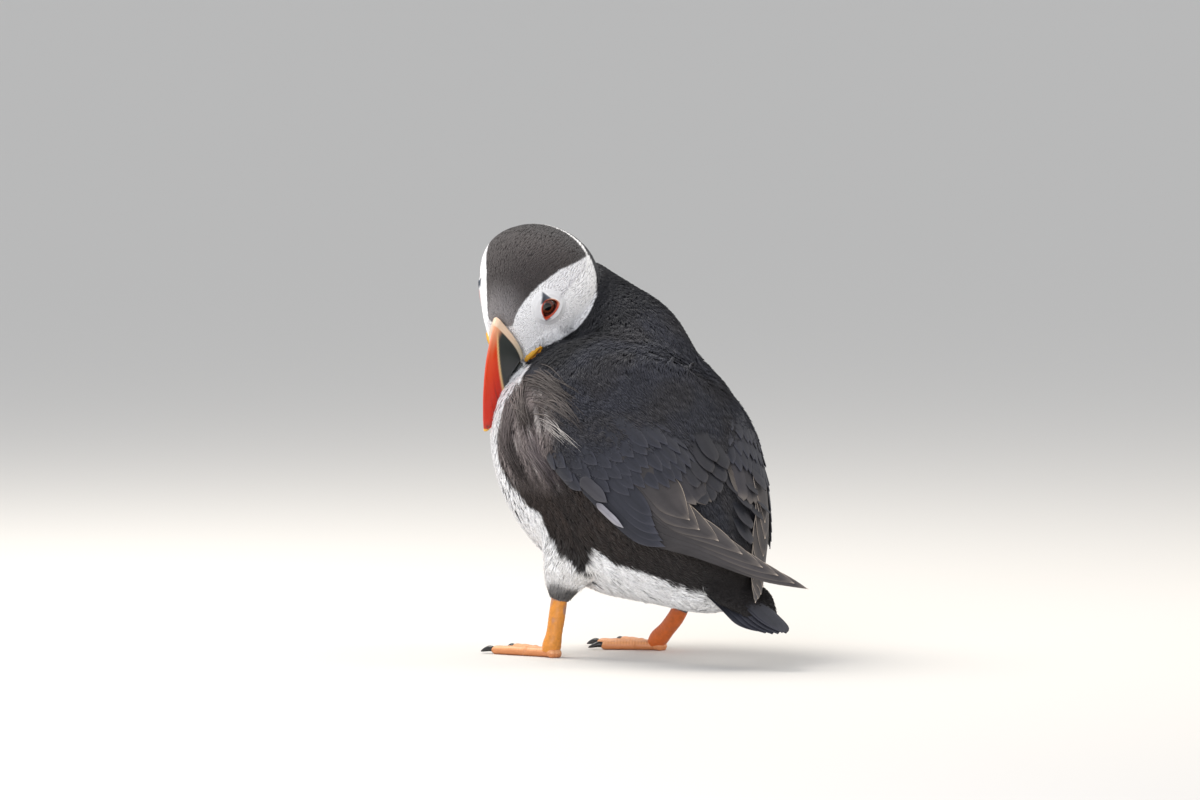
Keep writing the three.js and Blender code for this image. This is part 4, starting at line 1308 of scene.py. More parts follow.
# Long scapulars and inner secondaries over the back, left and right: tips, and the run back to
# their roots
shoulderSize = {
    "leftTips": [(12, 62, 66), (6.5, 60, 67), (1.5, 58, 70), (-2.5, 56, 74), (-5.5, 54, 79),
                 (13, 57, 73), (8.5, 56.5, 74.5), (3.5, 54.5, 78), (-0.5, 52.5, 82)],
    "rightTips": [(-8.4, 57, 68.7), (-11.9, 61.3, 62.6), (-9.8, 64, 55), (-8.1, 65.7, 48.6),
                  (-18, 58, 68), (-17, 62, 58), (-24, 56, 70), (-23, 60, 60)],
    "run": (2, -8.5, 19.5),
    "wide": 4.2,
}


def buildShoulders(size):
    stack = VaneStack(41)
    for side, tips in ((1, size["leftTips"]), (-1, size["rightTips"])):
        tip = np.array(tips, float)
        root = tip + np.array(size["run"]) * [side, 1, 1]
        wide = np.full((2, len(tip)), size["wide"])
        solids = laidVanes(root, tip, vaneSize(0.08 * np.arange(len(tip)), point=0.66, blunt=2.3, tip=1.7,
                                               root=-0.8, thick=0.16, camber=0.3), wide, 12)
        stack.put(solids, "shoulder", 22, size["wide"] * 2, 0.5, 0.35)
    stack.finish("shoulderFeathers")


buildShoulders(shoulderSize)

tailSize = {"pairs": 5, "rootY": 54, "rootZ": 37.5, "rootSpan": 6, "tipY": 99, "tipZ": 15.5, "tipSpan": 7.0,
            "middle": 1.5, "wide": 6.0, "droop": 2.5}


def buildTail(size):
    # rounded fan: pairs from the outermost inwards, the middle pair on top and longest
    stack = VaneStack(51)
    count = size["pairs"] * 2
    order = np.repeat(np.linspace(1, 0.08, size["pairs"]), 2) * np.tile([1, -1], size["pairs"])
    root = np.stack([order * size["rootSpan"], 0 * order + size["rootY"], size["rootZ"] - 2 * order**2], -1)
    tip = np.stack([size["middle"] + order * size["tipSpan"], size["tipY"] - 8 * order**2,
                    size["tipZ"] + 3.5 * order**2 - size["droop"] * np.abs(order)], -1)
    s = vaneStations(22)
    line = root[:, None] + (tip - root)[:, None] * s[:, None]
    line[..., 2] += 1.2 * np.sin(np.pi * s)
    along = unit(np.gradient(line, axis=1))
    lean = order[:, None, None] * np.array([0.35, 0, 0]) + np.array([0, 0.4, 1.0])
    normal = unit(lean - along * (lean * along).sum(-1, keepdims=True))
    surface = flatSurface(line, np.cross(along, normal), normal)
    wide = np.full((2, count), size["wide"])
    sizes = vaneSize(0.22 * np.repeat(np.arange(size["pairs"]), 2) - 0.6, point=0.72, tip=0.2, root=0.2)
    stack.put(vaneSolids(surface, 22, sizes, count, wide), "tail", 45, size["wide"] * 2, 0.7, 0.3)
    stack.finish("tailFeathers", replaces=("tail",))


buildTail(tailSize)

# Bill: upper edge forwards and up, lower edge forwards and up, half width, in the head's frame
upperBillRows = [
    (0.3, 0, 1.2, -24, 7.3), (8.5, -2.1, 8, -26.5, 4.5), (17.3, -8.8, 15, -29.5, 3.6),
    (25, -19.4, 22, -33, 2.7), (29.8, -29.7, 27.5, -35.5, 1.9), (32.2, -37, 31, -38, 0.8),
]
lowerBillRows = [
    (1.2, -24.6, 0.3, -38.5, 6.8), (8, -27.1, 9, -40.8, 4.3), (15, -30.1, 17, -41.2, 3.4),
    (22, -33.6, 23.5, -40.2, 2.5), (27, -36.1, 27.5, -39.2, 1.6), (30, -38.2, 30.2, -39, 0.7),
]
# Half section: share of the height from the cutting edge, share of the width
billSection = [(0, 0), (0.06, 0.85), (0.2, 1), (0.45, 0.9), (0.7, 0.6), (0.88, 0.31), (0.97, 0.15), (1, 0)]
billSize = {
    "ridge": 0.048, "ridgeTop": 0.05, "ridgeRise": 0.7, "lineRise": 0.12, "grooveDepth": 0.28,
    "bend": 1.3, "tipBend": 0.8,
    "cream": "#ecccae", "creamLow": "#c9bca2", "slate": "#3a3d3b", "slateDeepAndNostrilShade": "#262827", "line": "#e9c58c",
    "red": "#d02605", "redBright": "#ea4a10", "redDeepAndGrooveShade": "#8f1d08", "tip": "#e9b54a", "notch": "#3d1a0c",
    "culmenHighlight": "#e9a37a",
}


def billGrid(rows, edgeOnTop, along, around, relief):
    # half sections joined left and right along the bill; relief in mm stands off the side
    s = np.linspace(0, 1, along) ** 1.05
    row = smoothRows(rows, s)
    section = smoothRows(billSection, np.linspace(0, 1, around))
    q = np.clip(np.concatenate([section[:, 0], section[-2:0:-1, 0]]), 0, 1)
    w = np.concatenate([np.maximum(section[:, 1], 0), -np.maximum(section[-2:0:-1, 1], 0)])
    start, end = (row[:, 0:2], row[:, 2:4]) if edgeOnTop else (row[:, 2:4], row[:, 0:2])
    side = np.sign(w) * np.minimum(np.abs(w) * 6, 1)
    rise = relief(s[:, None], q[None])
    profile = start[:, None] + (end - start)[:, None] * q[None, :, None]
    outward = unit(end - start)[:, None] * (ease((q - 0.6) / 0.4)[None, :, None] * rise[..., None])
    profile = profile + outward
    y = w * row[:, 4:5] + side * rise * (1 - 0.6 * ease((q - 0.6) / 0.4))
    # the sheath bends a little to the left: sideways = middle * sin(pi * s^0.7) + tip * s
    y = y + (billSize["bend"] * np.sin(np.pi * s**0.7) + billSize["tipBend"] * s)[:, None]
    grid = inHead(np.stack([profile[..., 0], y, profile[..., 1]], -1))
    return (grid[:, ::-1], s, q[::-1]) if edgeOnTop else (grid, s, q)


def lineNear(s, place, width):
    return np.exp(-((s - place) / width) ** 2)


def upperLines(q):
    # pale line and the two grooves before it, as shares of the bill's length at each height
    return 0.45 - 0.39 * q**2.4, 0.56 - 0.36 * q**3.2, 0.70 - 0.40 * q**3


def upperRelief(s, q):
    size = billSize
    line, first, second = upperLines(q)
    edge = size["ridge"] + size["ridgeTop"] * q**2
    ridge = ease((edge * 1.1 - s) / 0.03) * np.minimum(1, s / 0.012) ** 0.5
    grooves = lineNear(s, first, 0.012) + 0.8 * lineNear(s, second, 0.012)
    wide = ease((q - 0.02) / 0.08) * ease((0.93 - q) / 0.1)
    grooves = grooves * ease((0.85 - q) / 0.4)
    nostril = lineNear(q, 0.085, 0.03) * ease((s - 0.17) / 0.02) * ease((0.33 - s) / 0.03)
    rise = size["ridgeRise"] * ridge + size["lineRise"] * lineNear(s, line, 0.018) * wide
    return rise - size["grooveDepth"] * grooves * wide - 0.5 * nostril


def lowerRelief(s, q):
    groove = lineNear(s, 0.52, 0.014) + lineNear(s, 0.66, 0.014)
    return -0.22 * groove * ease((q - 0.05) / 0.1) * ease((0.95 - q) / 0.1)


def billColour(s, q, points, upper):
    c = linearAll(billSize)
    s, q = np.broadcast_arrays(s, q)
    grain = noise(points, 1.2, 61)
    red = blend(c["red"], c["redBright"], 0.75 * ease((q - 0.45) / 0.5) * ease((0.75 - s) / 0.4))
    red = blend(red, c["redDeepAndGrooveShade"], 0.3 * grain * ease((s - 0.6) / 0.4))
    if upper:
        line, first, second = upperLines(q)
        colour = blend(c["slate"], c["slateDeepAndNostrilShade"], 0.7 * ease((0.35 - q) / 0.3))
        colour = blend(colour, red, ease((s - line) / 0.012 + 0.5))
        # darker red along the two grooves: painted shade in them
        colour = blend(colour, c["redDeepAndGrooveShade"], 0.8 * (lineNear(s, first, 0.010) + lineNear(s, second, 0.010))
                       * ease((0.75 - q) / 0.35))
        pale = lineNear(s, line, 0.020) * ease((0.97 - q) / 0.05)
        colour = blend(colour, c["line"], np.clip(1.25 * pale, 0, 1))
        # painted highlight: pale peach along the top of the ridge towards the base
        colour = blend(colour, c["culmenHighlight"], ease((q - 0.8) / 0.14) * ease((0.42 - s) / 0.34))
        # painted shade in the nostril slit, over the dent cut there; the same deep slate also darkens the
        # sheath towards its cutting edge
        colour = blend(colour, c["slateDeepAndNostrilShade"], 0.8 * lineNear(q, 0.085, 0.03) * ease((s - 0.17) / 0.02)
                       * ease((0.33 - s) / 0.03))
        edge = billSize["ridge"] + billSize["ridgeTop"] * q**2
        cream = blend(c["creamLow"], c["cream"], ease((q - 0.25) / 0.5))
        colour = blend(colour, cream, ease((edge - s) / 0.012 + 0.5))
        notch = lineNear(s, 0.92, 0.03) * lineNear(q, 0.35, 0.4)
    else:
        colour = blend(c["slate"], red, ease((s - 0.42) / 0.02))
        colour = blend(colour, c["line"], lineNear(s, 0.42, 0.02))
        # darker red along the two grooves of the lower bill: painted shade in them
        colour = blend(colour, c["redDeepAndGrooveShade"], 0.6 * (lineNear(s, 0.52, 0.012) + lineNear(s, 0.66, 0.012)))
        notch = 0 * s
    colour = blend(colour, c["notch"], 0.8 * notch)
    return blend(colour, c["tip"], ease((s - 0.955) / 0.02))


def glossMaterial(name, roughness, coat, bumpSize, depth, coatRoughness=0.2):
    # shared start for horn and bare skin: colour from the piece, a fine uneven surface
    material, tree = newTree(name)
    colour = add(tree, "ShaderNodeAttribute", attribute_name="plume")
    place = add(tree, "ShaderNodeTexCoord")
    grain = add(tree, "ShaderNodeTexNoise", {
        "Vector": place.outputs["Object"], "Scale": 1000 / bumpSize, "Detail": 4.0, "Roughness": 0.55})
    bump = add(tree, "ShaderNodeBump", {
        "Height": grain.outputs["Fac"], "Strength": 0.6, "Distance": depth * 0.001})
    return finishMaterial(material, {
        "Base Color": colour.outputs["Color"], "Normal": bump.outputs["Normal"], "Roughness": roughness,
        "Coat Weight": coat, "Coat Roughness": coatRoughness})


# bill sheath: polished keratin plates, waxy gloss over a faint grain
billHorn = glossMaterial("bill sheath, polished keratin", 0.34, 0.25, 1.5, 0.05)
# bare skin of rosette and lids: soft, moist, low gloss
bareSkin = glossMaterial("bare face skin, soft and matt", 0.55, 0.0, 0.7, 0.05)
# legs and webs: dry scales with a faint waxy sheen
legSkin = glossMaterial("leg skin, small horny scales", 0.5, 0.1, 0.9, 0.08)
# claws: smooth dark horn that shines along its ridge
clawHorn = glossMaterial("claw, dark polished horn", 0.35, 0.2, 0.8, 0.03)
# eye: wet and clear, so that it mirrors the lights sharply
eyeGloss = glossMaterial("eye, wet cornea over a brown iris", 0.12, 0.45, 3.0, 0.0, 0.02)


def buildBill():
    for name, rows, edgeOnTop, relief in (("billUpper", upperBillRows, False, upperRelief),
                                          ("billLower", lowerBillRows, True, lowerRelief)):
        grid, s, q = billGrid(rows, edgeOnTop, 150, 44, relief)
        points, faces = closeRings(grid)
        colour = billColour(s[:, None], q[None], grid, not edgeOnTop)
        addPiece(name, points, faces, billHorn, "bill", withEnds(colour),
                 replaces=("bill_lower" if edgeOnTop else "bill_upper",))


buildBill()


# Outline of the lids about the eye's middle, in mm to the right and up, and the two horny plates
lidSize = {
    "outline": [(-3.1, 0.2), (-1.9, 2.6), (0.4, 3.75), (3.0, 3.2), (4.2, 1.5), (2.2, -2.0), (-1.25, -4.8),
                (-2.9, -2.4)],
    "opening": 0.83, "ringRise": 0.5, "reach": 7.6, "edge": 0.1,
    "ring": "#c4431f", "ringDeep": "#6d1e10", "ringPale": "#dda283",
    "plate": "#5b626d", "plateDark": "#33363d",
    "plateAbove": [(-2.6, 6.4), (-3.5, 1.4), (1.0, 3.9)],
    "plateBelow": [(-3.0, -3.4), (-1.4, -5.7), (1.0, -4.4)],
}


def outlineRadius(angle, outline):
    # closed smooth curve through the outline's points, as a radius for each angle
    wrapped = [outline[-1], *outline, *outline[:2]]
    t = (1 + np.linspace(0, 1, 400) * len(outline)) / (len(outline) + 2)
    curve = smoothRows(wrapped, t)
    turn = np.arctan2(curve[:, 1], curve[:, 0])
    order = np.argsort(turn)
    return np.interp(angle, turn[order], np.linalg.norm(curve, axis=1)[order], period=2 * np.pi)


def triangleShare(a, b, corners, soft):
    # 1 inside the rounded triangle, easing to 0 over `soft` outside
    corners = np.array(corners, float)
    middle = corners.mean(0)
    inside = np.ones_like(a)
    for k in range(3):
        p, q = corners[k], corners[(k + 1) % 3]
        normal = np.array([-(q - p)[1], (q - p)[0]]) / np.linalg.norm(q - p)
        if (middle - p) @ normal < 0:
            normal = -normal
        inside = inside * ease(((a - p[0]) * normal[0] + (b - p[1]) * normal[1]) / soft + 0.5)
    return inside


def buildLids(side, name, size):
    # bare skin round the eye: rings in the oblique outline of the lids, lying on the ball at the
    # opening, swelling into a ring, then running out flush with the feathers of the face
    origin, axis, right, up = faceFrame(side)
    view = np.cross(right, up) * side
    angle = np.linspace(-np.pi, np.pi, 96, endpoint=False)
    outer = outlineRadius(angle, size["outline"])
    share = np.concatenate([[0.0, 0.02], np.linspace(0.05, 1, 14)])
    inner = outer * size["opening"]
    ring = inner + (outer - inner) * share[:, None]
    beyond = np.linspace(0, 1, 14)[1:, None]
    radius = np.vstack([ring, outer + (size["reach"] - outer) * beyond])
    a, b = radius * np.cos(angle), radius * np.sin(angle)
    # points of the outline dropped along the view onto the plane across the axis
    flat = a[..., None] * right + b[..., None] * up
    flat = flat - ((flat @ axis) / (view @ axis))[..., None] * view
    wide = np.linalg.norm(flat, axis=-1)
    ball = np.sqrt(np.clip(eyeSize["radius"] ** 2 - wide**2, 0.2, None)) - eyeSize["sunk"] + size["edge"]
    aim = (-axis) @ headAxis
    high = inHead(origin + flat + 10 * axis)
    hits = [skinTree.ray_cast(point, aim) for point in high.reshape(-1, 3).tolist()]
    depth = np.array([10 - (hit[3] if hit[3] is not None else 10) for hit in hits]).reshape(radius.shape)
    away = np.clip((radius - outer) / (size["reach"] - outer), 0, 1)
    ringShare = (radius - inner) / (outer - inner)
    swell = np.sin(np.pi * np.clip(ringShare, 0, 1.4) / 1.4)
    level = np.where(wide > 6.2, depth, 0) + 0.3
    onBall = np.maximum(ball, -0.9)
    height = onBall + (level - onBall) * ease(ringShare * 0.9)
    height = height + size["ringRise"] * swell * (ringShare < 1.4)
    plate = triangleShare(a, b, size["plateAbove"], 0.6) * (away > 0)
    below = triangleShare(a, b, size["plateBelow"], 0.5) * (away > 0)
    height = height + 0.45 * plate + 0.3 * below
    height[0] = ball[0] - 0.5
    height[-1] = height[-1] - 1.0
    grid = origin + flat + height[..., None] * axis
    points = inHead(grid)
    # a shade darker, as the coat around it shades itself
    colour = 0.9 * headColour(points.reshape(-1, 3)).reshape(points.shape)
    grain = noise(points, 0.6, 71)
    c = linearAll(size)
    bare = blend(colour, c["plate"], plate)
    bare = blend(bare, c["plateDark"], 0.75 * plate * ease((2.0 - np.abs(a + 2.4)) / 2))
    bare = blend(bare, c["plate"], 0.7 * below)
    rim = blend(c["ring"], c["ringDeep"], 0.35 * grain)
    upper = ease((np.cos(angle - 1.0) - 0.55) / 0.35) * ease((ringShare - 0.35) / 0.3)
    rim = blend(rim, c["ringPale"], upper)
    bare = blend(bare, rim, ease((1.06 - radius / outer) / 0.05))
    bare = blend(bare, c["ringDeep"] * 0.5, ease((inner * 1.05 - radius) / (0.04 * inner)))
    # the same sheet again half a millimetre deeper, and a wall along both of its edges
    under = points - 0.5 * (axis @ headAxis)
    rings = np.concatenate([points, under[::-1], points[:1]])
    count, columns = len(rings) - 1, len(angle)
    i, j = np.meshgrid(np.arange(count), np.arange(columns), indexing="ij")
    k, after = (j + 1) % columns, (i + 1) % count
    quads = np.stack([i * columns + j, after * columns + j, after * columns + k, i * columns + k], -1)
    quads = quads.reshape(-1, 4)[:, ::side]
    addPiece(name + "Lids", rings[:-1].reshape(-1, 3), [quads], bareSkin, "gape",
             np.concatenate([bare, bare[::-1]]).reshape(-1, 3))


eyeColours = {"pupil": "#030304", "iris": "#4a2012", "irisRim": "#1a0b07", "inner": "#74361f",
              "white": "#1a100c"}


def buildEye(side, name):
    # ball about the eye's axis; pupil, iris and dark rim by the angle from the axis
    origin, axis, right, up = faceFrame(side)
    centre = origin - eyeSize["sunk"] * axis
    polar = np.concatenate([np.linspace(0.02, 0.9, 60), np.linspace(0.95, np.pi - 0.05, 30)])[:, None]
    around = np.linspace(0, 2 * np.pi, 72, endpoint=False)
    if side < 0:
        around = around[::-1]
    axis = unit(np.array(eyeSize["gaze"])) * [1, side, 1]
    right = unit(right - axis * (right @ axis))
    up = np.cross(axis, right) * side
    local = np.sin(polar)[..., None] * (np.cos(around)[:, None] * right + np.sin(around)[:, None] * up)
    grid = centre + eyeSize["radius"] * (local + np.cos(polar)[..., None] * axis)
    points, faces = closeRings(inHead(grid)[::-1])
    c = linearAll(eyeColours)
    off = np.degrees(polar) + 0 * around
    spokes = np.stack(np.broadcast_arrays(np.cos(around) * 6, np.sin(around) * 6, off * 0.1), -1)
    streak = noise(spokes, 0.8, 72)
    iris = blend(c["iris"], c["inner"], 0.8 * streak)
    iris = blend(iris, c["irisRim"], ease((off - 29) / 8))
    colour = blend(c["pupil"], iris, ease((off - 18.5) / 1.5))
    colour = withEnds(blend(colour, c["white"], ease((off - 38) / 3))[::-1])
    addPiece(name + "Eye", points, faces, eyeGloss, "eye", colour, replaces=(f"eye_{name}",))


rosetteColours = {"skin": "#e3a11f", "crease": "#a85a10", "edge": "#f0bb45"}


def buildRosette(side, name):
    # fleshy lens between gape and cheek, folded along its middle
    mirror = np.array([1, side, 1])
    rear, front = (np.array(rosetteSize[k]) * mirror for k in ("rear", "front"))
    along = unit(front - rear)
    normal = np.array([0.62, 0.78 * side, -0.05])
    normal = unit(normal - along * (along @ normal))
    across = np.cross(normal, along) * side
    half = np.linalg.norm(front - rear) / 2
    angle = np.linspace(0, 2 * np.pi, 64, endpoint=False)
    polar = np.linspace(0.04, np.pi - 0.04, 56)[:, None]
    t = -np.cos(polar) + 0 * angle
    width = 2.5 * np.sin(polar) ** 1.1
    b = width * np.cos(angle)
    h = 1.7 * np.sin(polar) ** 0.8 * np.sin(angle) + 0.25
    fold = np.exp(-((b / 0.42) ** 2)) * ease((0.9 - np.abs(t)) / 0.3) * (np.sin(angle) > 0)
    wrinkle = 0.09 * np.sin(b * 9 + 3 * t) * (np.sin(angle) > 0) * np.sin(polar)
    h = h - 0.75 * fold + wrinkle
    grid = (rear + front) / 2 + t[..., None] * half * along + b[..., None] * across + h[..., None] * normal
    points, faces = closeRings(inHead(grid))
    faces = [face[:, ::side] for face in faces]
    c = linearAll(rosetteColours)
    colour = blend(c["skin"], c["edge"], ease((np.abs(b) - 0.8) / 1.2))
    # darker orange along the middle fold as painted shade, with random darker mottling all over
    colour = blend(colour, c["crease"], np.clip(fold * 1.1 + 0.25 * noise(inHead(grid), 0.8, 73), 0, 1))
    addPiece(name + "Rosette", points, faces, bareSkin, "gape", withEnds(colour),
             replaces=(f"rosette_{name}",))


for side, name in ((1, "left"), (-1, "right")):
    buildLids(side, name, lidSize)
    buildEye(side, name)
    buildRosette(side, name)
print("head parts done")


# Legs: tarsus rows as the body's; toes fan about the ankle, each with its length and spread
upwards = np.array([0, 0, 1.0])
legSize = {
    "left": {
        "tarsus": [(32.6, -5.7, 28, 3.2, 3.4, 3.4, 2), (34, -6.1, 18, 3.3, 3.7, 3.7, 2),
                   (35.2, -6.6, 10, 3.2, 3.6, 3.6, 2), (35.9, -7.2, 5, 3.9, 4.2, 3.8, 2),
                   (36.1, -7.8, 2.2, 3.6, 3.8, 3.6, 2)],
        "ankle": (36, -7.2), "heading": -7, "side": 1, "skin": "#d98a2e", "patch": 0.7,
    },
    "right": {
        "tarsus": [(-18.7, 14, 23, 3.1, 3.3, 3.3, 2), (-18, 9.5, 15.5, 3.3, 3.7, 3.7, 2),
                   (-17.6, 3.6, 9.4, 3.2, 3.6, 3.6, 2), (-17.5, -1.4, 5, 3.9, 4.2, 3.8, 2),
                   (-17.5, -4, 2.4, 3.6, 3.6, 2.6, 2)],
        "ankle": (-17.5, -3.2), "heading": -16, "side": -1, "skin": "#cf6420", "patch": 0.25,
    },
}
toeSize = {
    "inner": (23.5, -29), "middle": (30, 0), "outer": (29.5, 26),
    "radius": 2.3, "heel": 4.4, "lift": 1.7,
    "swell": [(0, 1.05), (0.12, 1.25), (0.3, 1.0), (0.45, 0.95), (0.5, 1.1), (0.55, 0.95), (0.72, 1.02),
              (0.8, 0.9), (0.92, 0.92), (1, 0.7)],
    "webThickness": 1.2, "webHeight": 0.5, "webReach": 0.93, "webHollow": 0.09,
    "clawLength": 6, "clawRadius": 1.4, "clawSunk": 0.8,
    "clawRows": [(0, 0.2, 0.95), (0.3, 0.3, 1), (0.65, -0.2, 0.75), (1, -0.9, 0.3)],
    "pleat": 0.22, "scute": 1.5, "toeScute": 1.25, "scuteDepth": 0.16,
    "toe": "#e3a06c", "toeDark": "#b5622a", "web": "#dc8a58", "webDark": "#a65a34", "scale": "#8a7a80",
    "claw": "#1c1a19", "clawTip": "#3a3532",
}


def buildTarsus(name, leg):
    # smooth shank with broad scutes in front and a net of small scales behind
    grid = tubeGrid(leg["tarsus"], 130, 64)
    angle = np.linspace(0, 2 * np.pi, 64, endpoint=False)
    centre = grid.mean(1, keepdims=True)
    outward = unit(grid - centre)
    run = np.concatenate([[0], np.cumsum(np.linalg.norm(np.diff(centre[:, 0], axis=0), axis=1))])[:, None]
    step = toeSize["scute"]
    front = ease((outward @ np.array([0, -1.0, 0.2]) + 0.1) / 0.5)
    bend = run + 0.35 * np.cos(angle * 2)
    scute = np.abs(np.sin(np.pi * bend / step)) ** 0.35
    net = noise(grid, 0.85, 81)
    relief = toeSize["scuteDepth"] * (front * (scute - 1) + (1 - front) * (net - 0.8))
    grid = grid + outward * relief[..., None]
    base = linear(leg["skin"])
    colour = blend(base * 0.62, base * 1.08, np.clip(front * scute + (1 - front) * (0.4 + net * 0.6), 0, 1))
    patch = leg["patch"] * ease((noise(grid, 3.4, 82) - 0.5) * 5)
    patch = patch * ease((grid[..., 2] - 8) / 5) * (1 - 0.5 * front)
    colour = withEnds(blend(colour, linear(toeSize["scale"]), patch))
    addPiece(name + "Tarsus", *closeRings(grid), legSkin, "legs", colour, replaces=(f"tarsus_{name}",))


def toeDirection(leg, spread):
    turn = math.radians(leg["side"] * (leg["heading"] + spread))
    return np.array([math.sin(turn), -math.cos(turn), 0.0])


def toeShell(size, ankle, ahead, length):
    # padded tube from heel to claw: swollen at its joints, flat below, scutes in steps above
    side = np.cross(ahead, upwards)
    s = np.linspace(0, 1, 90)
    along = -size["heel"] + s * (length + size["heel"])
    blunt = np.sqrt(np.clip(1 - ((s - 0.5) / 0.5) ** 12, 0.02, 1))
    radius = size["radius"] * smoothAcross(s, size["swell"]) * blunt
    angle = np.linspace(0, 2 * np.pi, 36, endpoint=False)
    flatter = np.minimum(size["lift"] / np.maximum(radius, 0.1), 1)[:, None]
    height = np.sin(angle) * np.where(np.sin(angle) < 0, flatter, 0.95)
    scute = np.abs(np.sin(np.pi * along / size["toeScute"]))[:, None] ** 0.4
    top = ease(np.sin(angle) * 1.5)
    bulge = radius[:, None] + size["scuteDepth"] * 0.8 * (scute - 1) * top
    grid = (ankle + ahead * along[:, None, None] + side * (np.cos(angle) * bulge)[..., None]
            + upwards * (size["lift"] + bulge * height)[..., None])
    grid[..., 2] = np.maximum(grid[..., 2], 0.0)
    light = np.clip(0.35 + 0.65 * scute * top + 0.2 * noise(grid, 1.5, 83), 0, 1)
    return grid, blend(linear(size["toeDark"]), linear(size["toe"]), light)


def webShell(size, ankle, first, second, side):
    # web between two toes: rays from the ankle, its free edge drawn in, folded in soft pleats
    (aheadA, lengthA), (aheadB, lengthB) = first, second
    a = np.linspace(0, 1, 40)[:, None]
    b = np.linspace(0.04, 1, 46)[None]
    ray = aheadA + (aheadB - aheadA) * a[..., None]
    hollow = 1 - 4 * size["webHollow"] * a * (1 - a)
    reach = (lengthA + (lengthB - lengthA) * a) * size["webReach"] * hollow
    flat = ankle + ray * (reach * b)[..., None]
    pleat = size["pleat"] * np.sin(a * np.pi * 7) * b * np.sin(np.pi * a) ** 0.5
    thick = size["webThickness"] * (0.55 + 0.45 * (2 * a - 1) ** 2) * (1 - 0.45 * b**6)
    low = flat + upwards * size["webHeight"]
    top = low + upwards * (thick + pleat)[..., None]
    rings = np.concatenate([top, low[:, ::-1]], 1)[:, ::-side]
    grain = noise(rings * [1, 1, 0.3], 1.1, 84)
    return rings, blend(linear(size["webDark"]), linear(size["web"]), np.clip(0.35 + 0.9 * grain, 0, 1))


def buildFoot(name, leg, size):
    ankle = np.array([*leg["ankle"], 0.0])
    toes = {toe: (toeDirection(leg, size[toe][1]), size[toe][0]) for toe in ("inner", "middle", "outer")}
    shells = [toeShell(size, ankle, *toe) for toe in toes.values()]
    for first, second in (("inner", "middle"), ("middle", "outer")):
        shells.append(webShell(size, ankle, toes[first], toes[second], leg["side"]))
    stack = ShellStack()
    for grid, colour in shells:
        stack.put(*closeRings(grid), withEnds(colour))
    addPiece(name + "Foot", *stack.joined(), legSkin, "legs", np.vstack(stack.colours),
             replaces=(f"foot_{name}",))
    for toe, (ahead, length) in toes.items():
        buildClaw(f"{name}{toe.capitalize()}Claw", f"claw_{name}_{toe}", ankle + ahead * length, ahead, size)


def smoothAcross(s, table):
    # value of a smooth curve through (share, value) rows at each share
    t = np.linspace(0, 1, 400)
    curve = smoothRows(table, t)
    return np.interp(s, curve[:, 0], curve[:, 1])


def buildClaw(name, node, base, ahead, size):
    # curved cone, round above and flatter below
    s = np.linspace(0, 1, 40)
    rows = smoothRows(size["clawRows"], s)
    side = np.cross(ahead, upwards)
    angle = np.linspace(0, 2 * np.pi, 28, endpoint=False)
    radius = size["clawRadius"] * rows[:, 2:3] * np.sqrt(np.clip(1 - s[:, None] ** 14, 0.01, 1))
    sine = np.where(np.sin(angle) < 0, 0.75, 1.0) * np.sin(angle)
    centre = base + ahead * (rows[:, 0:1] * size["clawLength"] - size["clawSunk"])
    centre = centre + upwards * (size["lift"] + rows[:, 1:2])
    grid = centre[:, None] + side * (np.cos(angle) * radius * 0.85)[..., None]
    grid = grid + upwards * (sine * radius)[..., None]
    shade = ease((s - 0.6) / 0.4)[:, None] + 0 * angle
    colour = withEnds(blend(linear(size["claw"]), linear(size["clawTip"]), shade))
    addPiece(name, *closeRings(grid), clawHorn, "claws", colour, replaces=(node,))


for name, leg in legSize.items():
    buildTarsus(name, leg)
    buildFoot(name, leg, toeSize)
print("legs done")


# Studio
def addArea(name, direction, distance, size, energy, colour, target):
    light = bpy.data.lights.new(name, "AREA")
    light.shape = "DISK"
    light.size = size
    light.energy = energy
    light.color = linear(colour)
    lamp = bpy.data.objects.new(name, light)
    place = target + Vector(direction).normalized() * distance
    lamp.location = place
    lamp.rotation_euler = (target - place).to_track_quat("-Z", "Y").to_euler()
    bpy.context.collection.objects.link(lamp)


stageSize = {"floor": "#d9d6d1", "world": "#e6e9ee", "worldStrength": 0.85, "half": 9.0}


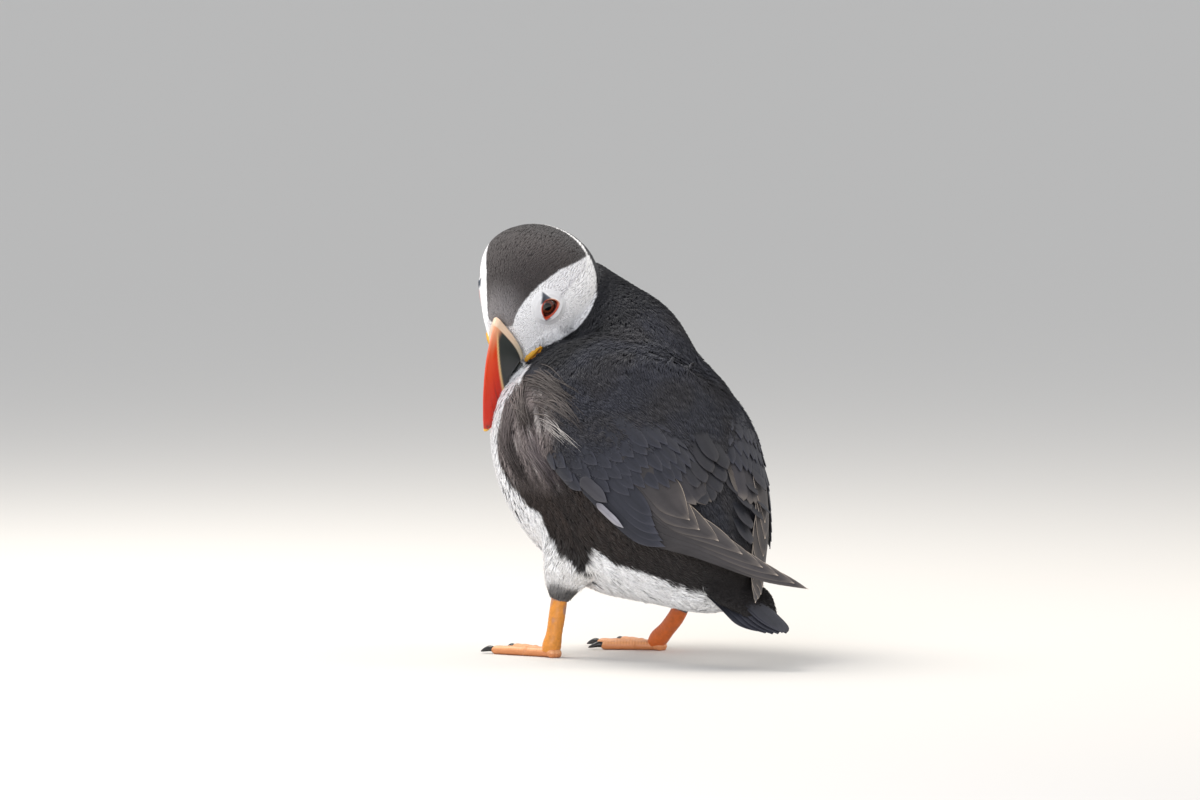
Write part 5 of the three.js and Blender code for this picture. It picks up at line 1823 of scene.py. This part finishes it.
def setStage(size):
    # pale matt floor, wide soft lights above and beside the bird
    points = np.array([(-1, -1, 0), (1, -1, 0), (1, 1, 0), (-1, 1, 0)]) * size["half"] * 1000 + boxMiddle
    mesh = meshFrom("floor", toWorld(points), [np.array([[0, 1, 2, 3]])])
    # floor: matt paint that takes soft shadows without a gloss
    material, _ = newTree("painted board, matt")
    mesh.materials.append(finishMaterial(material, {"Base Color": linear4(size["floor"]), "Roughness": 0.9}))
    floor = bpy.data.objects.new("floor", mesh)
    bpy.context.collection.objects.link(floor)
    world = bpy.data.worlds.new("studio")
    world.use_nodes = True
    background = world.node_tree.nodes["Background"]
    background.inputs["Color"].default_value = linear4(size["world"])
    background.inputs["Strength"].default_value = size["worldStrength"]
    bpy.context.scene.world = world
    middle = Vector((0, 0, 0.09))
    addArea("key", (0.2, -0.65, 1.0), 0.9, 0.6, 8.2, "#fffaf2", middle)
    addArea("fill", (1.0, 0.6, 0.35), 1.1, 0.8, 5.6, "#f2f5ff", middle)
    addArea("rim", (-0.9, 0.7, 0.8), 1.0, 0.6, 3.0, "#fff4e6", middle)


cameraSize = {"toCamera": (0.6412, 0.7642, 0.0698), "right": (-0.766, 0.643, 0.0),
              "up": (-0.0448, -0.0534, 0.9976), "aimRight": -12.5, "aimUp": 105.0, "distance": 4000.0,
              "lens": 288.0}


def setCamera(size):
    # long lens from the left rear side, a little above level
    toCamera, right, up = (np.array(size[k]) for k in ("toCamera", "right", "up"))
    aim = right * size["aimRight"] + up * size["aimUp"]
    camera = bpy.data.cameras.new("camera")
    camera.lens = size["lens"]
    camera.sensor_width = 36
    camera.clip_start, camera.clip_end = 0.1, 20
    holder = bpy.data.objects.new("camera", camera)
    bpy.context.collection.objects.link(holder)
    holder.matrix_world = Matrix((right, up, toCamera)).transposed().to_4x4()
    holder.location = Vector(toWorld(aim + toCamera * size["distance"]))
    bpy.context.scene.camera = holder


setStage(stageSize)
setCamera(cameraSize)
bpy.context.scene.view_settings.view_transform = "Standard"  # colours stay as mixed
print("stage set")
